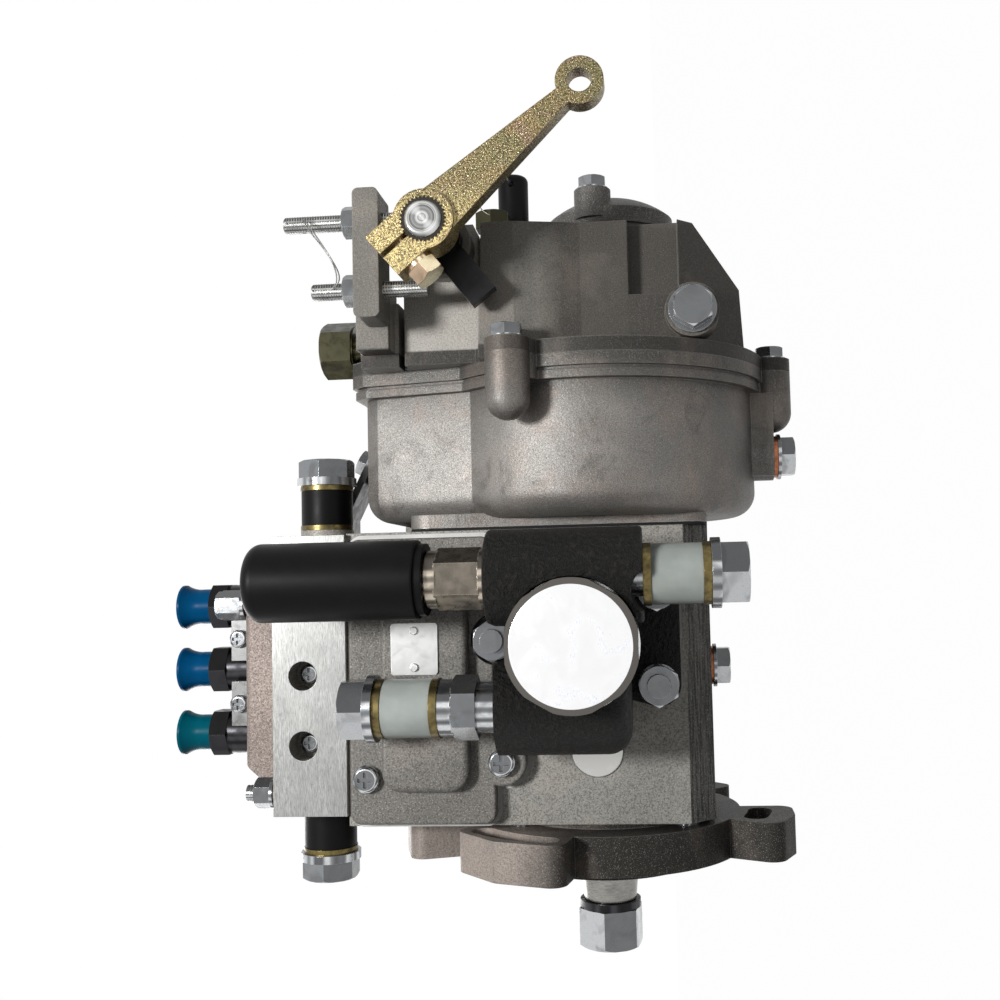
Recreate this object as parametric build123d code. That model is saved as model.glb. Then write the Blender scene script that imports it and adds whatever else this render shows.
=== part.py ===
from build123d import *
import math
import os

# In-line diesel injection pump with its governor, feed pump and hand primer.
# Millimetres. X runs along the camshaft from the mounting face to the governor,
# Z runs towards the delivery outlets, and -Y is the side with the feed pump.

# Driving sizes of the pump body
cylinder_spacing = 25.0
first_cylinder_x = 45.0
cylinder_count = 3
body_x0 = 16.0
body_x1 = 121.0
near_face_y = -40.0
far_face_y = 36.0
bottom_z = -40.0
corner_cut = 9.0
shoulder_z = 91.0
block_x0 = 20.0
block_x1 = 120.5
block_height = 27.0
block_top_z = shoulder_z + block_height
block_far_y = 30.0
pad_face_y = -43.0
head_x0 = 29.0
head_x1 = 111.0
head_height = 19.0
head_top_z = block_top_z + head_height
head_corner_x = 6.0
head_corner_z = 7.0
head_half_width = 20.0
wall = 5.0
face_gap = 0.3
running = 0.03
fit_gap = 0.05

# Camshaft and its chamber
journal_r = 10.0
cam_base_r = 12.0
cam_nose_r = 4.0
cam_lift = 8.0
cam_width = 10.0
cam_phases = [60.0, 180.0, 300.0]
feed_cam_base_r = 10.5
feed_cam_nose_r = 5.0
piston_stroke = 5.0
push_rod_gap = 0.6
feed_cam_width = 8.0
bearing_r = 23.5
bearing_width = 14.0
race_wall = 4.0
chamber_half_y = 27.0
chamber_top_z = 24.0
chamber_bottom_z = -31.0
taper_x0 = -8.0
taper_x1 = -19.8
taper_r0 = 11.2
taper_ratio = 10.0
spring_washer_thickness = 3.2
spring_washer_r = 11.6
nut_width = 22.0
nut_turn = 39.0
nut_height = 14.5
drive_thread_r = 7.0

# Pumping elements
tappet_r = 10.0
tappet_length = 22.0
guide_top_z = 44.0
roller_r = 6.5
roller_width = 8.0
roller_pin_r = 3.0
plunger_r = 4.0
barrel_skirt_r = 6.6
barrel_seat_z = shoulder_z - 19.5
seat_thickness = 2.0
barrel_r = 8.5
barrel_shoulder_z = shoulder_z - 2.0
collar_r = 10.2
collar_height = 6.0
barrel_top_z = block_top_z + 3.0
collar_z = barrel_top_z - collar_height
plunger_top_z = barrel_top_z - 3.0
spring_wire_r = 1.2
spring_mean_r = 8.0
spring_turns = 5.0

# Control rack and toothed sleeves
rack_pitch_r = 11.0
tooth_pitch = 3.2
tooth_height = 1.8
tooth_backlash = 0.5
tooth_taper = 0.32
tooth_tip_gap = 0.25
sleeve_height = 10.0
sleeve_z0 = barrel_seat_z + seat_thickness + 0.5
sleeve_z1 = sleeve_z0 + sleeve_height
rack_height = 6.0
rack_z0 = sleeve_z0 + 0.5
rack_z1 = rack_z0 + rack_height
rack_back_y = 17.5
rack_pin_z = rack_z0 + 2.3
rack_pin_r = 2.0
rack_pin_from_end = 6.5
rack_x0 = 24.0
rack_x1 = 168.0

# Delivery side
holder_r = 10.25
holder_neck_r = 8.4
holder_hex_width = 17.0
holder_thread_r = 6.0
valve_r = 6.5
valve_height = 12.0
clamp_lift = 0.6
clamp_height = 6.6
clamp_z0 = head_top_z + clamp_lift
clamp_z1 = clamp_z0 + clamp_height
holder_neck_gap = 4.6
holder_hex_height = 7.0
holder_hex_z0 = clamp_z1 + holder_neck_gap
holder_hex_z1 = holder_hex_z0 + holder_hex_height
holder_thread_length = 10.2
holder_top_z = holder_hex_z1 + holder_thread_length
cap_inner_r = 6.15
cap_small_r = 6.95
cap_large_r = 8.7
cap_neck_length = 4.4
cap_rim = 1.0
cap_end_wall = 2.8
cap_top_z = holder_top_z + cap_end_wall
clamp_length = 17.0
clamp_inner_y = 3.0
clamp_outer_y = 14.0
clamp_screw_r = 2.5
bleed_x = 95.6
bleed_y = -16.2
bleed_hex = 10.0
bleed_washer = 1.4
bleed_length = 9.8

# Fuel gallery through the block, with banjo ends
gallery_y = -14.0
gallery_z = block_top_z - 12.5
gallery_r = 5.8
gallery_boss_top = 3.0
gallery_boss_bottom = 1.2
banjo_thread_r = 7.0
banjo_hex_width = 19.0
banjo_hex_height = 7.0
banjo_flange_r = 11.3
banjo_flange_height = 3.0
washer_r = 10.1
washer_thickness = 1.9
sleeve_r = 9.8
sleeve_length = 13.4
white_sleeve_length = 16.4
feed_washer_thickness = 2.6
feed_hex_height = 8.8

# Side cover
cover_x0 = 17.5
cover_x1 = 118.5
cover_z0 = 37.0
cover_z1 = shoulder_z - 2.0
cover_thickness = 5.5
cover_gasket = 0.6
platform_x0 = 29.5
platform_x1 = 106.5
platform_z0 = 45.5
platform_z1 = 76.5
platform_height = 5.5
window_margin = 7.0
window_z0 = 47.0
cover_ear_r = 8.5
cover_screws = [(33.7, 82.8), (102.3, 82.8), (39.0, 34.5), (97.0, 34.5)]
cover_screw_r = 3.0
plate_x0 = 70.4
plate_x1 = 88.4
plate_z0 = 55.6
plate_z1 = 72.2
plate_thickness = 0.6

# Openings and small pieces of the near face
pad_hole_r = 5.25
pad_hole_depth = 10.0
pad_hole_z = block_top_z - 11.2
locating_screw_r = 2.0
expansion_plug_x = 41.6
expansion_plug_z = 1.4
expansion_plug_r = 9.2
drain_x = 68.8
drain_y = -10.0
drain_washer_r = 7.2
shoulder_stud_x = 25.3
shoulder_stud_y = -25.0
shoulder_boss = 5.0
shoulder_boss_r = 5.2

# Mounting flange
flange_thickness = 14.0
flange_r = 50.5
flange_neck_r = 39.0
pilot_r = 34.0
pilot_height = 5.0
slot_r = 58.0
slot_half_width = 4.5
flange_screw_circle = 42.0
flange_screw_angles = [45, 135, 225, 315]
flange_screw_r = 4.0
seal_bore_r = 17.0
# Each ear: angle from +Z towards -Y, half span of its slot, outer radius, half width in degrees
flange_ears = [(167.0, 5.6, 70.0, 13.8), (57.0, 14.0, 66.0, 22.0), (5.0, 5.6, 76.0, 13.8), (-123.0, 8.0, 68.0, 16.5)]

# Feed pump
feed_x = 82.0
feed_z = 5.5
feed_flange_thickness = 9.0
feed_gasket = 0.6
feed_lobe_r = 7.7
feed_barrel_r = 20.5
feed_front_y = -88.0
feed_inlet_x = 103.5
feed_inlet_y = -80.0
feed_inlet_r = 15.6
feed_inlet_z0 = -17.0
feed_inlet_z1 = 33.1
feed_outlet_x = 60.5
feed_outlet_y = -66.0
feed_outlet_r = 15.9
feed_outlet_z0 = -12.0
feed_outlet_z1 = 32.3
feed_outlet_round = 8.0
feed_web_half = 13.0
feed_seat_r = 14.0
feed_studs = [(65.7, -21.0), (98.3, -21.0), (82.0, 35.7)]
feed_plug_width = 41.2
feed_plug_rim_r = 21.2
feed_plug_disc_r = 19.1
feed_plug_height = 10.5
piston_r = 11.0
piston_length = 12.0
push_rod_r = 4.0
adapter_width = 19.0
adapter_neck = 6.9
adapter_hex = 8.4
adapter_ring = 4.4

# Hand primer
primer_hex_width = 17.6
primer_hex_z1 = 52.6
primer_tube_r = 8.2
primer_tube_z1 = 98.0
primer_bore_r = 6.0
primer_rod_r = 3.0
knob_z0 = 55.5
knob_z1 = 112.4
knob_r = 13.0
knob_wall = 3.8
knob_lip_r = 11.8
knob_lip_length = 2.4

# Governor bowl and cover
bowl_x0 = 122.0
bowl_wall_x0 = 125.0
bowl_rim_x0 = 171.3
split_x = 180.0
bowl_r = 60.0
bowl_wall = 4.0
rim_r = bowl_r + 4.3
rim_groove_x = 174.3
rim_groove_width = 1.1
rim_groove_depth = 1.5
lower_rim_step = 0.9
bowl_end_z = bowl_r + 26.0
wing_half = 31.0
wing_corner = 5.0
wing_root_angle = 42.5
bowl_corner_r = 9.0
lug_r = 7.7
lug_x0 = 164.5
lug_bolt_x0 = 166.0
# Each lug: angle from +Z towards -Y, and how far its bolt lies outside the rim
lugs = [(67.2, 6.3), (176.0, 2.9), (-67.2, 6.3), (-150.0, 3.7)]
lug_bolt_clear = 6.2
bowl_plug_x = 147.5
bowl_plug_y = -5.0
bowl_washer_r = 8.0
bowl_plug_z = -bowl_r - 7.0
web_x0 = 139.8
web_y0 = -13.0
web_y1 = 3.0
strap_bolt_x = 149.2
strap_bolt_y = 10.0
strap_thickness = 2.8
strap_foot_z = 110.8
strap_foot_half = 5.8
strap_half_width = 10.0
strap_leg_x = 129.5
strap_leg_z = 104.3
strap_end_x = 157.0
strap_slope = 26.6
strap_boss_r = 7.5
cover_flange = 5.0
cover_top_x = 228.0
cover_near_y = 2.0 - bowl_r
cover_step = 5.5
cover_far_y = bowl_r - 4.0
cover_left_z = 38.5
cover_right_z = 4.0 - bowl_r
slot_width = 1.2
pocket_x0 = 201.5
pocket_z0 = -32.0
pocket_z1 = -14.4
pocket_floor_y = -46.5
side_box_z0 = 40.0
side_box_z1 = 67.3
side_box_x1 = 205.8
side_box_near_y = -44.0
face_plug_x = 195.0
face_plug_y = -54.2
face_plug_z = -36.4
face_plug_boss_r = 9.5
bowl_foot_z0 = -40.0
bowl_foot_z1 = 68.4
bowl_foot_x1 = 127.0
lid_y = 0.0
lid_z = -7.0
lid_r = 24.5
lid_neck = 9.0
lid_ring_height = 6.0
lid_dome_height = 9.0
lid_opening_r = 12.0
lid_boss_r = 7.0
lid_boss_top = 13.5
lid_boss_dy = -19.0
lid_boss_dz = 6.0
lid_bolt_length = 20.5
cover_block_z1 = bowl_end_z - 3.5
cover_block_x1 = 203.0
union_x = 192.0
union_y = -22.0
union_neck_r = 6.6
union_neck = 8.5
union_collar = 0.5
union_width = 19.0
union_hex = 12.0
full_load_y = -16.0
full_load_z = 29.8
full_load_r = 5.8
full_load_length = 30.5
vent_y = -30.0
vent_z = 36.0
vent_stem = 5.5
vent_width = 12.0
vent_height = 6.5

# Throttle lever, its shaft and its stops
shaft_x = 220.5
shaft_z = 51.0
shaft_r = 6.2
lever_front_y = -88.0
lever_thickness = 9.0
lever_hub_r = 10.0
lever_length = 68.1
lever_angle = -49.7
lever_eye_r = 8.0
lever_eye_hole_r = 4.0
lever_arm_root = 17.6
lever_arm_tip = 6.2
clamp_end = 18.0
clamp_width = 16.6
clamp_slot = 1.8
clamp_bolt_at = 10.4
clamp_bolt_r = 3.0
clamp_washer_r = 5.4
lever_travel = 28.0
stop_y = -66.0
stop_arm_thickness = 5.0
stop_hub_r = 9.0
lower_arm_length = 27.0
lower_arm_half = 5.0
lower_arm_angle = 38.0
upper_arm_length = 13.0
upper_arm_half = 3.0
upper_arm_angle = 40.0
stop_gap = 0.35
upper_screw_x = 227.5
lower_screw_x = 203.5
stop_screw_r = 2.8
ear_x0 = 192.5
ear_z0 = 69.2
ear_z1 = 78.1
ear_top_x = 237.0
ear_half_y = 8.0
upper_screw_z1 = 104.0
lower_screw_z1 = 94.4

# Flyweights, sliding sleeve and governor lever
carrier_x0 = 132.0
carrier_thickness = 8.0
carrier_r = 20.0
weight_pivot_r = 24.0
weight_pivot_x = 144.5
weight_width = 14.0
weight_toe_r = 10.0
weight_length = 27.0
shaft_end_x = 170.0
sleeve_bore_r = 7.0
governor_sleeve_x0 = 150.0
governor_sleeve_length = 22.0
governor_pivot_x = 176.0
governor_pivot_z = 44.0
governor_lever_roller_r = 3.0
governor_pin_half = 40.5

cylinder_x = [first_cylinder_x + cylinder_spacing * i for i in range(cylinder_count)]
middle_x = sum(cylinder_x) / cylinder_count
feed_face_y = near_face_y - feed_gasket
cover_face_y = near_face_y - cover_gasket


def towards(x, y, z, direction, x_dir=None):
    """Location at a point whose local Z looks along the direction."""
    if x_dir is None:
        x_dir = (0, 1, 0) if abs(direction[1]) < 0.9 else (1, 0, 0)
    return Plane(origin=(x, y, z), x_dir=x_dir, z_dir=direction).location


def peg(r, length):
    return Pos(0, 0, length / 2) * Cylinder(r, length)


def rod_x(r, x0, x1, y=0.0, z=0.0):
    return towards(x0, y, z, (1, 0, 0)) * peg(r, x1 - x0)


def rod_y(r, y0, y1, x=0.0, z=0.0):
    return towards(x, y0, z, (0, 1, 0)) * peg(r, y1 - y0)


def rod_z(r, z0, z1, x=0.0, y=0.0):
    return Pos(x, y, z0) * peg(r, z1 - z0)


def block(x0, x1, y0, y1, z0, z1):
    middle = Pos((x0 + x1) / 2, (y0 + y1) / 2, (z0 + z1) / 2)
    return middle * Box(x1 - x0, y1 - y0, z1 - z0)


def hexagon(width, height, cut=0.12):
    """Hexagon bar standing on Z=0 with its top corners turned off."""
    bar = extrude(RegularPolygon(width / 2, 6, major_radius=False), height)
    corner = width / math.sqrt(3)
    drop = corner * cut
    turned = peg(corner, height)
    turned = chamfer(turned.edges().group_by(Axis.Z)[-1], drop * 0.6, drop)
    return bar & turned


def section(points, x0, x1):
    """Prism along X from an outline given as (y, z)."""
    face = Polyline(*points, close=True)
    plane = Plane(origin=(x0, 0, 0), x_dir=(0, 1, 0), z_dir=(1, 0, 0))
    return extrude(plane * make_face(face), x1 - x0)


def profile(points, y0, y1):
    """Prism along Y from an outline given as (x, z)."""
    face = Polyline(*points, close=True)
    plane = Plane(origin=(0, y0, 0), x_dir=(1, 0, 0), z_dir=(0, -1, 0))
    return extrude(plane * make_face(face), y0 - y1)


def screw(head_r, head_height, shank_r, shank, cross=0.0):
    """Screw on Z=0 with its head above and its shank below; a cross recess if asked."""
    head = peg(head_r, head_height)
    head = fillet(head.edges().group_by(Axis.Z)[-1], head_height * 0.45)
    whole = head + Pos(0, 0, -shank / 2) * Cylinder(shank_r, shank)
    if cross:
        for turn in (0, 90):
            slot = Box(cross, cross * 0.26, head_height * 0.7)
            whole -= Pos(0, 0, head_height) * Rot(0, 0, turn) * slot
    return whole


def hex_bolt(width, height, shank_r, shank, washer=0.0):
    """Hexagon bolt with a raised washer face, standing on Z=0."""
    whole = Pos(0, 0, -shank / 2) * Cylinder(shank_r, shank) + hexagon(width, height)
    if washer:
        whole += peg(width * 0.62, washer)
    return whole


def ring(outer, inner, height):
    return peg(outer, height) - Pos(0, 0, -1) * peg(inner, height + 2)


def group(pieces):
    return Compound(children=list(pieces))


def save(name, solids):
    shape = solids if isinstance(solids, (Part, Solid, Compound)) else group(solids)
    export_step(shape, os.path.join("parts", name + ".step"))


# Pump body

def pump_housing():
    lower = section([
        (near_face_y, bottom_z + corner_cut), (near_face_y + corner_cut, bottom_z),
        (far_face_y - corner_cut, bottom_z), (far_face_y, bottom_z + corner_cut),
        (far_face_y, shoulder_z - 20), (block_far_y, shoulder_z), (near_face_y, shoulder_z),
    ], body_x0, body_x1)
    upper = block(block_x0, block_x1, pad_face_y, block_far_y, shoulder_z - 0.01, block_top_z)
    head = profile([
        (head_x0, block_top_z - 1), (head_x1, block_top_z - 1), (head_x1, head_top_z - head_corner_z),
        (head_x1 - head_corner_x, head_top_z), (head_x0 + head_corner_x, head_top_z),
        (head_x0, head_top_z - head_corner_z),
    ], head_half_width, -head_half_width)
    head = fillet(head.edges().filter_by(Axis.X).group_by(Axis.Z)[-1], 3)
    body = lower + upper + head
    body += towards(block_x1, gallery_y, gallery_z, (1, 0, 0)) * peg(washer_r, gallery_boss_top)
    body += towards(block_x0, gallery_y, gallery_z, (-1, 0, 0)) * peg(washer_r, gallery_boss_bottom)
    for x in (34.0, middle_x, 106.0):
        rib = section([(far_face_y - 1, -28), (far_face_y + 5, -20), (far_face_y + 5, 60), (far_face_y - 1, 68)],
                      x - 3, x + 3)
        body += rib
    body += rod_y(14, far_face_y - 1, far_face_y + 5, middle_x, 0)
    body += rod_z(shoulder_boss_r, block_top_z - 1, block_top_z + shoulder_boss, shoulder_stud_x, shoulder_stud_y)
    body -= housing_cavities()
    return body


def housing_cavities():
    bearing_end = body_x0 + bearing_width + 1
    chamber_x1 = body_x1 - bearing_width
    cuts = block(bearing_end, chamber_x1, -chamber_half_y, chamber_half_y, chamber_bottom_z, chamber_top_z)
    cuts += rod_x(bearing_r, body_x0 - 1, bearing_end + 1)
    cuts += rod_x(bearing_r, chamber_x1 - 1, body_x1 + 1)
    spring_x0 = cover_x0 + window_margin + 3
    spring_x1 = cover_x1 - window_margin - 1
    cuts += block(spring_x0, spring_x1, near_face_y + wall, 22, guide_top_z, shoulder_z - wall)
    cuts += block(spring_x0, spring_x1, near_face_y - 1, near_face_y + wall + 1, window_z0, shoulder_z - 2 * wall)
    for x in cylinder_x:
        cuts += rod_z(tappet_r + running, chamber_top_z - 1, guide_top_z + 1, x)
        cuts += rod_z(barrel_r + fit_gap, shoulder_z - wall - 1, collar_z + 0.01, x)
        cuts += rod_z(holder_r + fit_gap, collar_z, head_top_z + 1, x)
        cuts += rod_y(pad_hole_r, pad_face_y - 1, pad_face_y + pad_hole_depth, x, pad_hole_z)
        cuts += rod_y(locating_screw_r + fit_gap, pad_face_y, -barrel_r, x, pad_hole_z)
    cuts += rod_x(3 + fit_gap, block_x1 - 11, block_x1 + 1, strap_bolt_y, strap_foot_z)
    cuts += rod_x(gallery_r, block_x0 - 2, block_x1 + 4, gallery_y, gallery_z)
    cuts += rod_x(banjo_thread_r + fit_gap, block_x0 - 2, block_x0 + 13, gallery_y, gallery_z)
    cuts += rod_x(banjo_thread_r + fit_gap, block_x1 - 13, block_x1 + 4, gallery_y, gallery_z)
    cuts += block(rack_x0 - 7, body_x1 + 1, rack_back_y - 6.6, rack_back_y + 0.1, rack_z0 - 0.1, rack_z1 + 0.1)
    cuts += rod_y(15, near_face_y - 1, -chamber_half_y + 1, feed_x, feed_z)
    for x, z in feed_studs:
        cuts += rod_y(4 + fit_gap, near_face_y - 1, near_face_y + 11, x, z)
    for x, z in cover_screws:
        cuts += rod_y(cover_screw_r + fit_gap, near_face_y - 1, near_face_y + 10, x, z)
    cuts += rod_y(expansion_plug_r + fit_gap, near_face_y - 1, near_face_y + 2, expansion_plug_x, expansion_plug_z)
    cuts += rod_z(5 + fit_gap, bottom_z - 1, chamber_bottom_z + 1, drain_x, drain_y)
    cuts += rod_z(3 + fit_gap, block_top_z - 8, block_top_z + shoulder_boss + 1, shoulder_stud_x, shoulder_stud_y)
    cuts += rod_z(3 + fit_gap, head_top_z - 10, head_top_z + 1, bleed_x, bleed_y)
    for angle in flange_screw_angles:
        y, z = on_circle(flange_screw_circle, angle)
        cuts += rod_x(flange_screw_r + fit_gap, body_x0 - 1, body_x0 + 13, y, z)
    return cuts


def on_circle(radius, angle):
    """Point (y, z) at an angle from +Z towards -Y."""
    return -radius * math.sin(math.radians(angle)), radius * math.cos(math.radians(angle))


def mounting_flange():
    plate = rod_x(flange_r, 0, flange_thickness)
    for angle, slot, outer, half in flange_ears:
        inner = flange_r - 8
        points = [on_circle(inner, angle - half), on_circle(outer, angle - half),
                  on_circle(outer * 1.02, angle), on_circle(outer, angle + half), on_circle(inner, angle + half)]
        ear = section(points, 0, flange_thickness)
        corners = ear.edges().filter_by(Axis.X).sort_by(lambda e: -math.hypot(e.center().Y, e.center().Z))[:3]
        ear = fillet(ear.edges().filter_by(lambda e: e in corners), 5.5)
        plate += ear
    plate += rod_x(flange_neck_r, flange_thickness - 1, body_x0)
    plate += rod_x(pilot_r, -pilot_height, 1)
    for angle, slot, outer, half in flange_ears:
        plate -= arc_slot(angle, slot)
    plate -= rod_x(seal_bore_r, -pilot_height - 1, 8)
    plate -= rod_x(journal_r + 3, 7, body_x0 + 1)
    for angle in flange_screw_angles:
        y, z = on_circle(flange_screw_circle, angle)
        plate -= rod_x(flange_screw_r + fit_gap, -1, body_x0 + 1, y, z)
        plate -= rod_x(7.2, -1, 5.5, y, z)
    return plate


def arc_slot(angle, half):
    """Slot along an arc of the slot circle, through the flange."""
    outer = slot_r + slot_half_width
    inner = slot_r - slot_half_width
    band = rod_x(outer, -1, flange_thickness + 1) - rod_x(inner, -2, flange_thickness + 2)
    wedge = section([(0, 0), on_circle(2 * outer, angle - half), on_circle(2 * outer, angle),
                     on_circle(2 * outer, angle + half)], -1, flange_thickness + 1)
    slot = band & wedge
    for end in (angle - half, angle + half):
        y, z = on_circle(slot_r, end)
        slot += rod_x(slot_half_width, -1, flange_thickness + 1, y, z)
    return slot


def bearing_outer_rings():
    for x in (body_x0 + 1, body_x1 - bearing_width):
        outer = towards(x, 0, 0, (1, 0, 0)) * ring(bearing_r - fit_gap, bearing_r - race_wall, bearing_width)
        inner_r = journal_r + running
        balls_r = (bearing_r - race_wall + inner_r + race_wall) / 2
        filler = towards(x + 2, 0, 0, (1, 0, 0)) * ring(bearing_r - race_wall, inner_r, bearing_width - 4)
        grooved = filler - towards(x + bearing_width / 2, 0, 0, (1, 0, 0)) * Torus(balls_r, 1.5)
        yield outer + grooved


def shaft_seal():
    rim = towards(0.5, 0, 0, (1, 0, 0)) * ring(seal_bore_r - fit_gap, 13.2, 6.4)
    lip = towards(2.0, 0, 0, (1, 0, 0)) * ring(14, journal_r + 0.4, 3)
    return rim + lip


def camshaft():
    shaft = rod_x(journal_r, 1, carrier_x0 + carrier_thickness + 1)
    shaft += rod_x(sleeve_bore_r - running, carrier_x0, shaft_end_x)
    taper_r1 = taper_r0 - (taper_x0 - taper_x1) / taper_ratio
    cone = Cone(taper_r1, taper_r0, taper_x0 - taper_x1)
    shaft += Pos((taper_x0 + taper_x1) / 2, 0, 0) * Rot(0, 90, 0) * cone
    shaft += rod_x(journal_r + 0.2, taper_x0 - 0.01, 1)
    nut_end = taper_x1 - spring_washer_thickness - nut_height
    shaft += rod_x(drive_thread_r, nut_end + 1, taper_x1 + 0.01)
    nose_at = cam_base_r + cam_lift - cam_nose_r
    for x, phase in zip(cylinder_x, cam_phases):
        y, z = on_circle(nose_at, phase)
        rounds = Circle(cam_base_r).edges() + (Pos(y, z) * Circle(cam_nose_r)).edges()
        shaft += extrude(across(x - cam_width / 2) * make_hull(rounds), cam_width)
    feed_nose_at = feed_cam_base_r + piston_stroke - feed_cam_nose_r
    rounds = Circle(feed_cam_base_r).edges() + (Pos(feed_nose_at, 0) * Circle(feed_cam_nose_r)).edges()
    shaft += extrude(across(feed_x - feed_cam_width / 2) * make_hull(rounds), feed_cam_width)
    return shaft


def spring_washer():
    start = taper_x1 - face_gap
    washer = towards(start, 0, 0, (-1, 0, 0)) * ring(spring_washer_r, drive_thread_r + fit_gap,
                                                     spring_washer_thickness - face_gap)
    return washer - Pos(start, 0, 9) * Rot(20, 0, 20) * Box(20, 1.2, 8)


def drive_nut():
    start = taper_x1 - spring_washer_thickness
    nut = hexagon(nut_width, nut_height) - Pos(0, 0, -1) * peg(drive_thread_r + fit_gap, nut_height + 2)
    turned = math.radians(nut_turn)
    return towards(start, 0, 0, (-1, 0, 0), (0, -math.sin(turned), -math.cos(turned))) * nut


# Pumping elements and control rack

def plunger_unit(x):
    """Roller tappet with its roller, and the plunger standing in it, at the top of the lift."""
    cam_top = cam_base_r + cam_lift + face_gap
    roller_z = cam_top + roller_r
    body_z0 = roller_z - 2
    body = rod_z(tappet_r, body_z0, body_z0 + tappet_length, x)
    half = roller_width / 2 + 0.2
    body -= block(x - half, x + half, -tappet_r - 1, tappet_r + 1, body_z0 - 1, roller_z + roller_r + 0.6)
    body -= rod_x(roller_pin_r + fit_gap, x - tappet_r - 1, x + tappet_r + 1, 0, roller_z)
    foot_z = body_z0 + tappet_length - 6
    body -= rod_z(plunger_r + 3, foot_z, body_z0 + tappet_length + 1, x)
    roller = rod_x(roller_r, x - roller_width / 2, x + roller_width / 2, 0, roller_z)
    roller += rod_x(roller_pin_r, x - tappet_r + 1.2, x + tappet_r - 1.2, 0, roller_z)
    plunger = rod_z(plunger_r - running, foot_z, plunger_top_z, x) + rod_z(plunger_r + 2.8, foot_z, foot_z + 2, x)
    return group([body, roller, plunger])


def plunger_spring(x):
    lower = tappet_seat_z() + spring_wire_r + 0.1
    upper = barrel_seat_z - spring_wire_r - 0.1
    pitch = (upper - lower) / spring_turns
    path = Pos(x, 0, lower) * Helix(pitch, upper - lower, spring_mean_r)
    start = Plane(origin=path @ 0, z_dir=path % 0)
    return sweep(start * Circle(spring_wire_r), path=path, is_frenet=True)


def tappet_seat_z():
    return cam_base_r + cam_lift + face_gap + roller_r - 2 + tappet_length


def barrels_and_valves():
    for x in cylinder_x:
        barrel = rod_z(barrel_skirt_r, barrel_seat_z, barrel_shoulder_z + 1, x)
        barrel += rod_z(tappet_r, barrel_seat_z, barrel_seat_z + seat_thickness, x)
        barrel += rod_z(barrel_r, barrel_shoulder_z, collar_z, x) + rod_z(collar_r, collar_z, barrel_top_z, x)
        yield barrel - rod_z(plunger_r, barrel_seat_z - 1, barrel_top_z + 1, x)
        valve = rod_z(valve_r, barrel_top_z, barrel_top_z + valve_height, x)
        yield valve - rod_z(2, barrel_top_z - 1, barrel_top_z + valve_height - 3, x)


def sector():
    """Outline (x, y) of the toothed sector, with teeth centred on +Y."""
    step = tooth_pitch / rack_pitch_r
    root = rack_pitch_r - tooth_height / 2
    tip = rack_pitch_r + tooth_height / 2
    base_half = (tooth_pitch - tooth_backlash) / 4 + tooth_taper
    tip_half = (tooth_pitch - tooth_backlash) / 4 - tooth_taper
    outline = []
    for i in range(-2, 3):
        centre = math.pi / 2 - i * step
        for radius, offset in ((root, -base_half), (tip, -tip_half), (tip, tip_half), (root, base_half)):
            angle = centre - offset / rack_pitch_r
            outline.append((radius * math.cos(angle), radius * math.sin(angle)))
    return [(0, 0)] + outline


def control_sleeve(x):
    tube = rod_z(rack_pitch_r - tooth_height / 2 - 0.6, sleeve_z0, sleeve_z1, x)
    face = make_face(Polyline(*sector(), close=True))
    teeth = extrude(Plane.XY.offset(rack_z0 + 0.2) * face, rack_z1 - rack_z0 - 0.4)
    tube += Pos(x, 0, 0) * teeth
    return tube - rod_z(barrel_skirt_r + running, sleeve_z0 - 1, sleeve_z1 + 1, x)


def control_rack():
    root_y = rack_pitch_r + tooth_height / 2 + tooth_tip_gap
    bar = block(rack_x0, rack_x1, root_y, rack_back_y, rack_z0, rack_z1)
    base_half = (tooth_pitch - tooth_backlash) / 4 + tooth_taper
    tip_half = (tooth_pitch - tooth_backlash) / 4 - tooth_taper
    tip_y = rack_pitch_r - tooth_height / 2 + tooth_tip_gap
    for x in cylinder_x:
        for i in range(-3, 3):
            at = x + (i + 0.5) * tooth_pitch
            face = Polyline((at - base_half, root_y + 0.2), (at - tip_half, tip_y), (at + tip_half, tip_y),
                            (at + base_half, root_y + 0.2), close=True)
            bar += extrude(Plane.XY.offset(rack_z0) * make_face(face), rack_z1 - rack_z0)
    slot_half = rack_pin_r + 0.15
    at = rack_x1 - rack_pin_from_end
    return bar - block(at - slot_half, at + slot_half, 0, rack_back_y + 1, rack_z0 - 1, rack_pin_z + slot_half)


# Delivery side

def delivery_holders():
    for x in cylinder_x:
        body = rod_z(holder_r, barrel_top_z, head_top_z - 3, x)
        body += rod_z(holder_neck_r, head_top_z - 3.5, holder_hex_z0 + 0.5, x)
        hexed = Pos(x, 0, holder_hex_z0) * Rot(0, 0, 30) * hexagon(holder_hex_width, holder_hex_z1 - holder_hex_z0)
        body += hexed + rod_z(holder_thread_r, holder_hex_z1 - 0.5, holder_top_z, x)
        body -= rod_z(valve_r + fit_gap, barrel_top_z - 1, barrel_top_z + valve_height + 0.05, x)
        body -= rod_z(4, barrel_top_z + valve_height - 1, holder_hex_z0, x)
        body -= rod_z(1.2, holder_hex_z0 - 1, holder_top_z + 1, x)
        yield body


def holder_clamps():
    """Two pairs of jaws that lock the necks of neighbouring holders, near and far."""
    for i in range(cylinder_count - 1):
        x = (cylinder_x[i] + cylinder_x[i + 1]) / 2
        for side in (-1, 1):
            ends = sorted((side * clamp_inner_y, side * clamp_outer_y))
            jaw = block(x - clamp_length / 2, x + clamp_length / 2, *ends, clamp_z0, clamp_z1)
            for neighbour in (cylinder_x[i], cylinder_x[i + 1]):
                jaw -= rod_z(holder_neck_r + fit_gap, clamp_z0 - 1, clamp_z1 + 1, neighbour)
            yield jaw - rod_y(clamp_screw_r + fit_gap, -20, 20, x, (clamp_z0 + clamp_z1) / 2)


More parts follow.
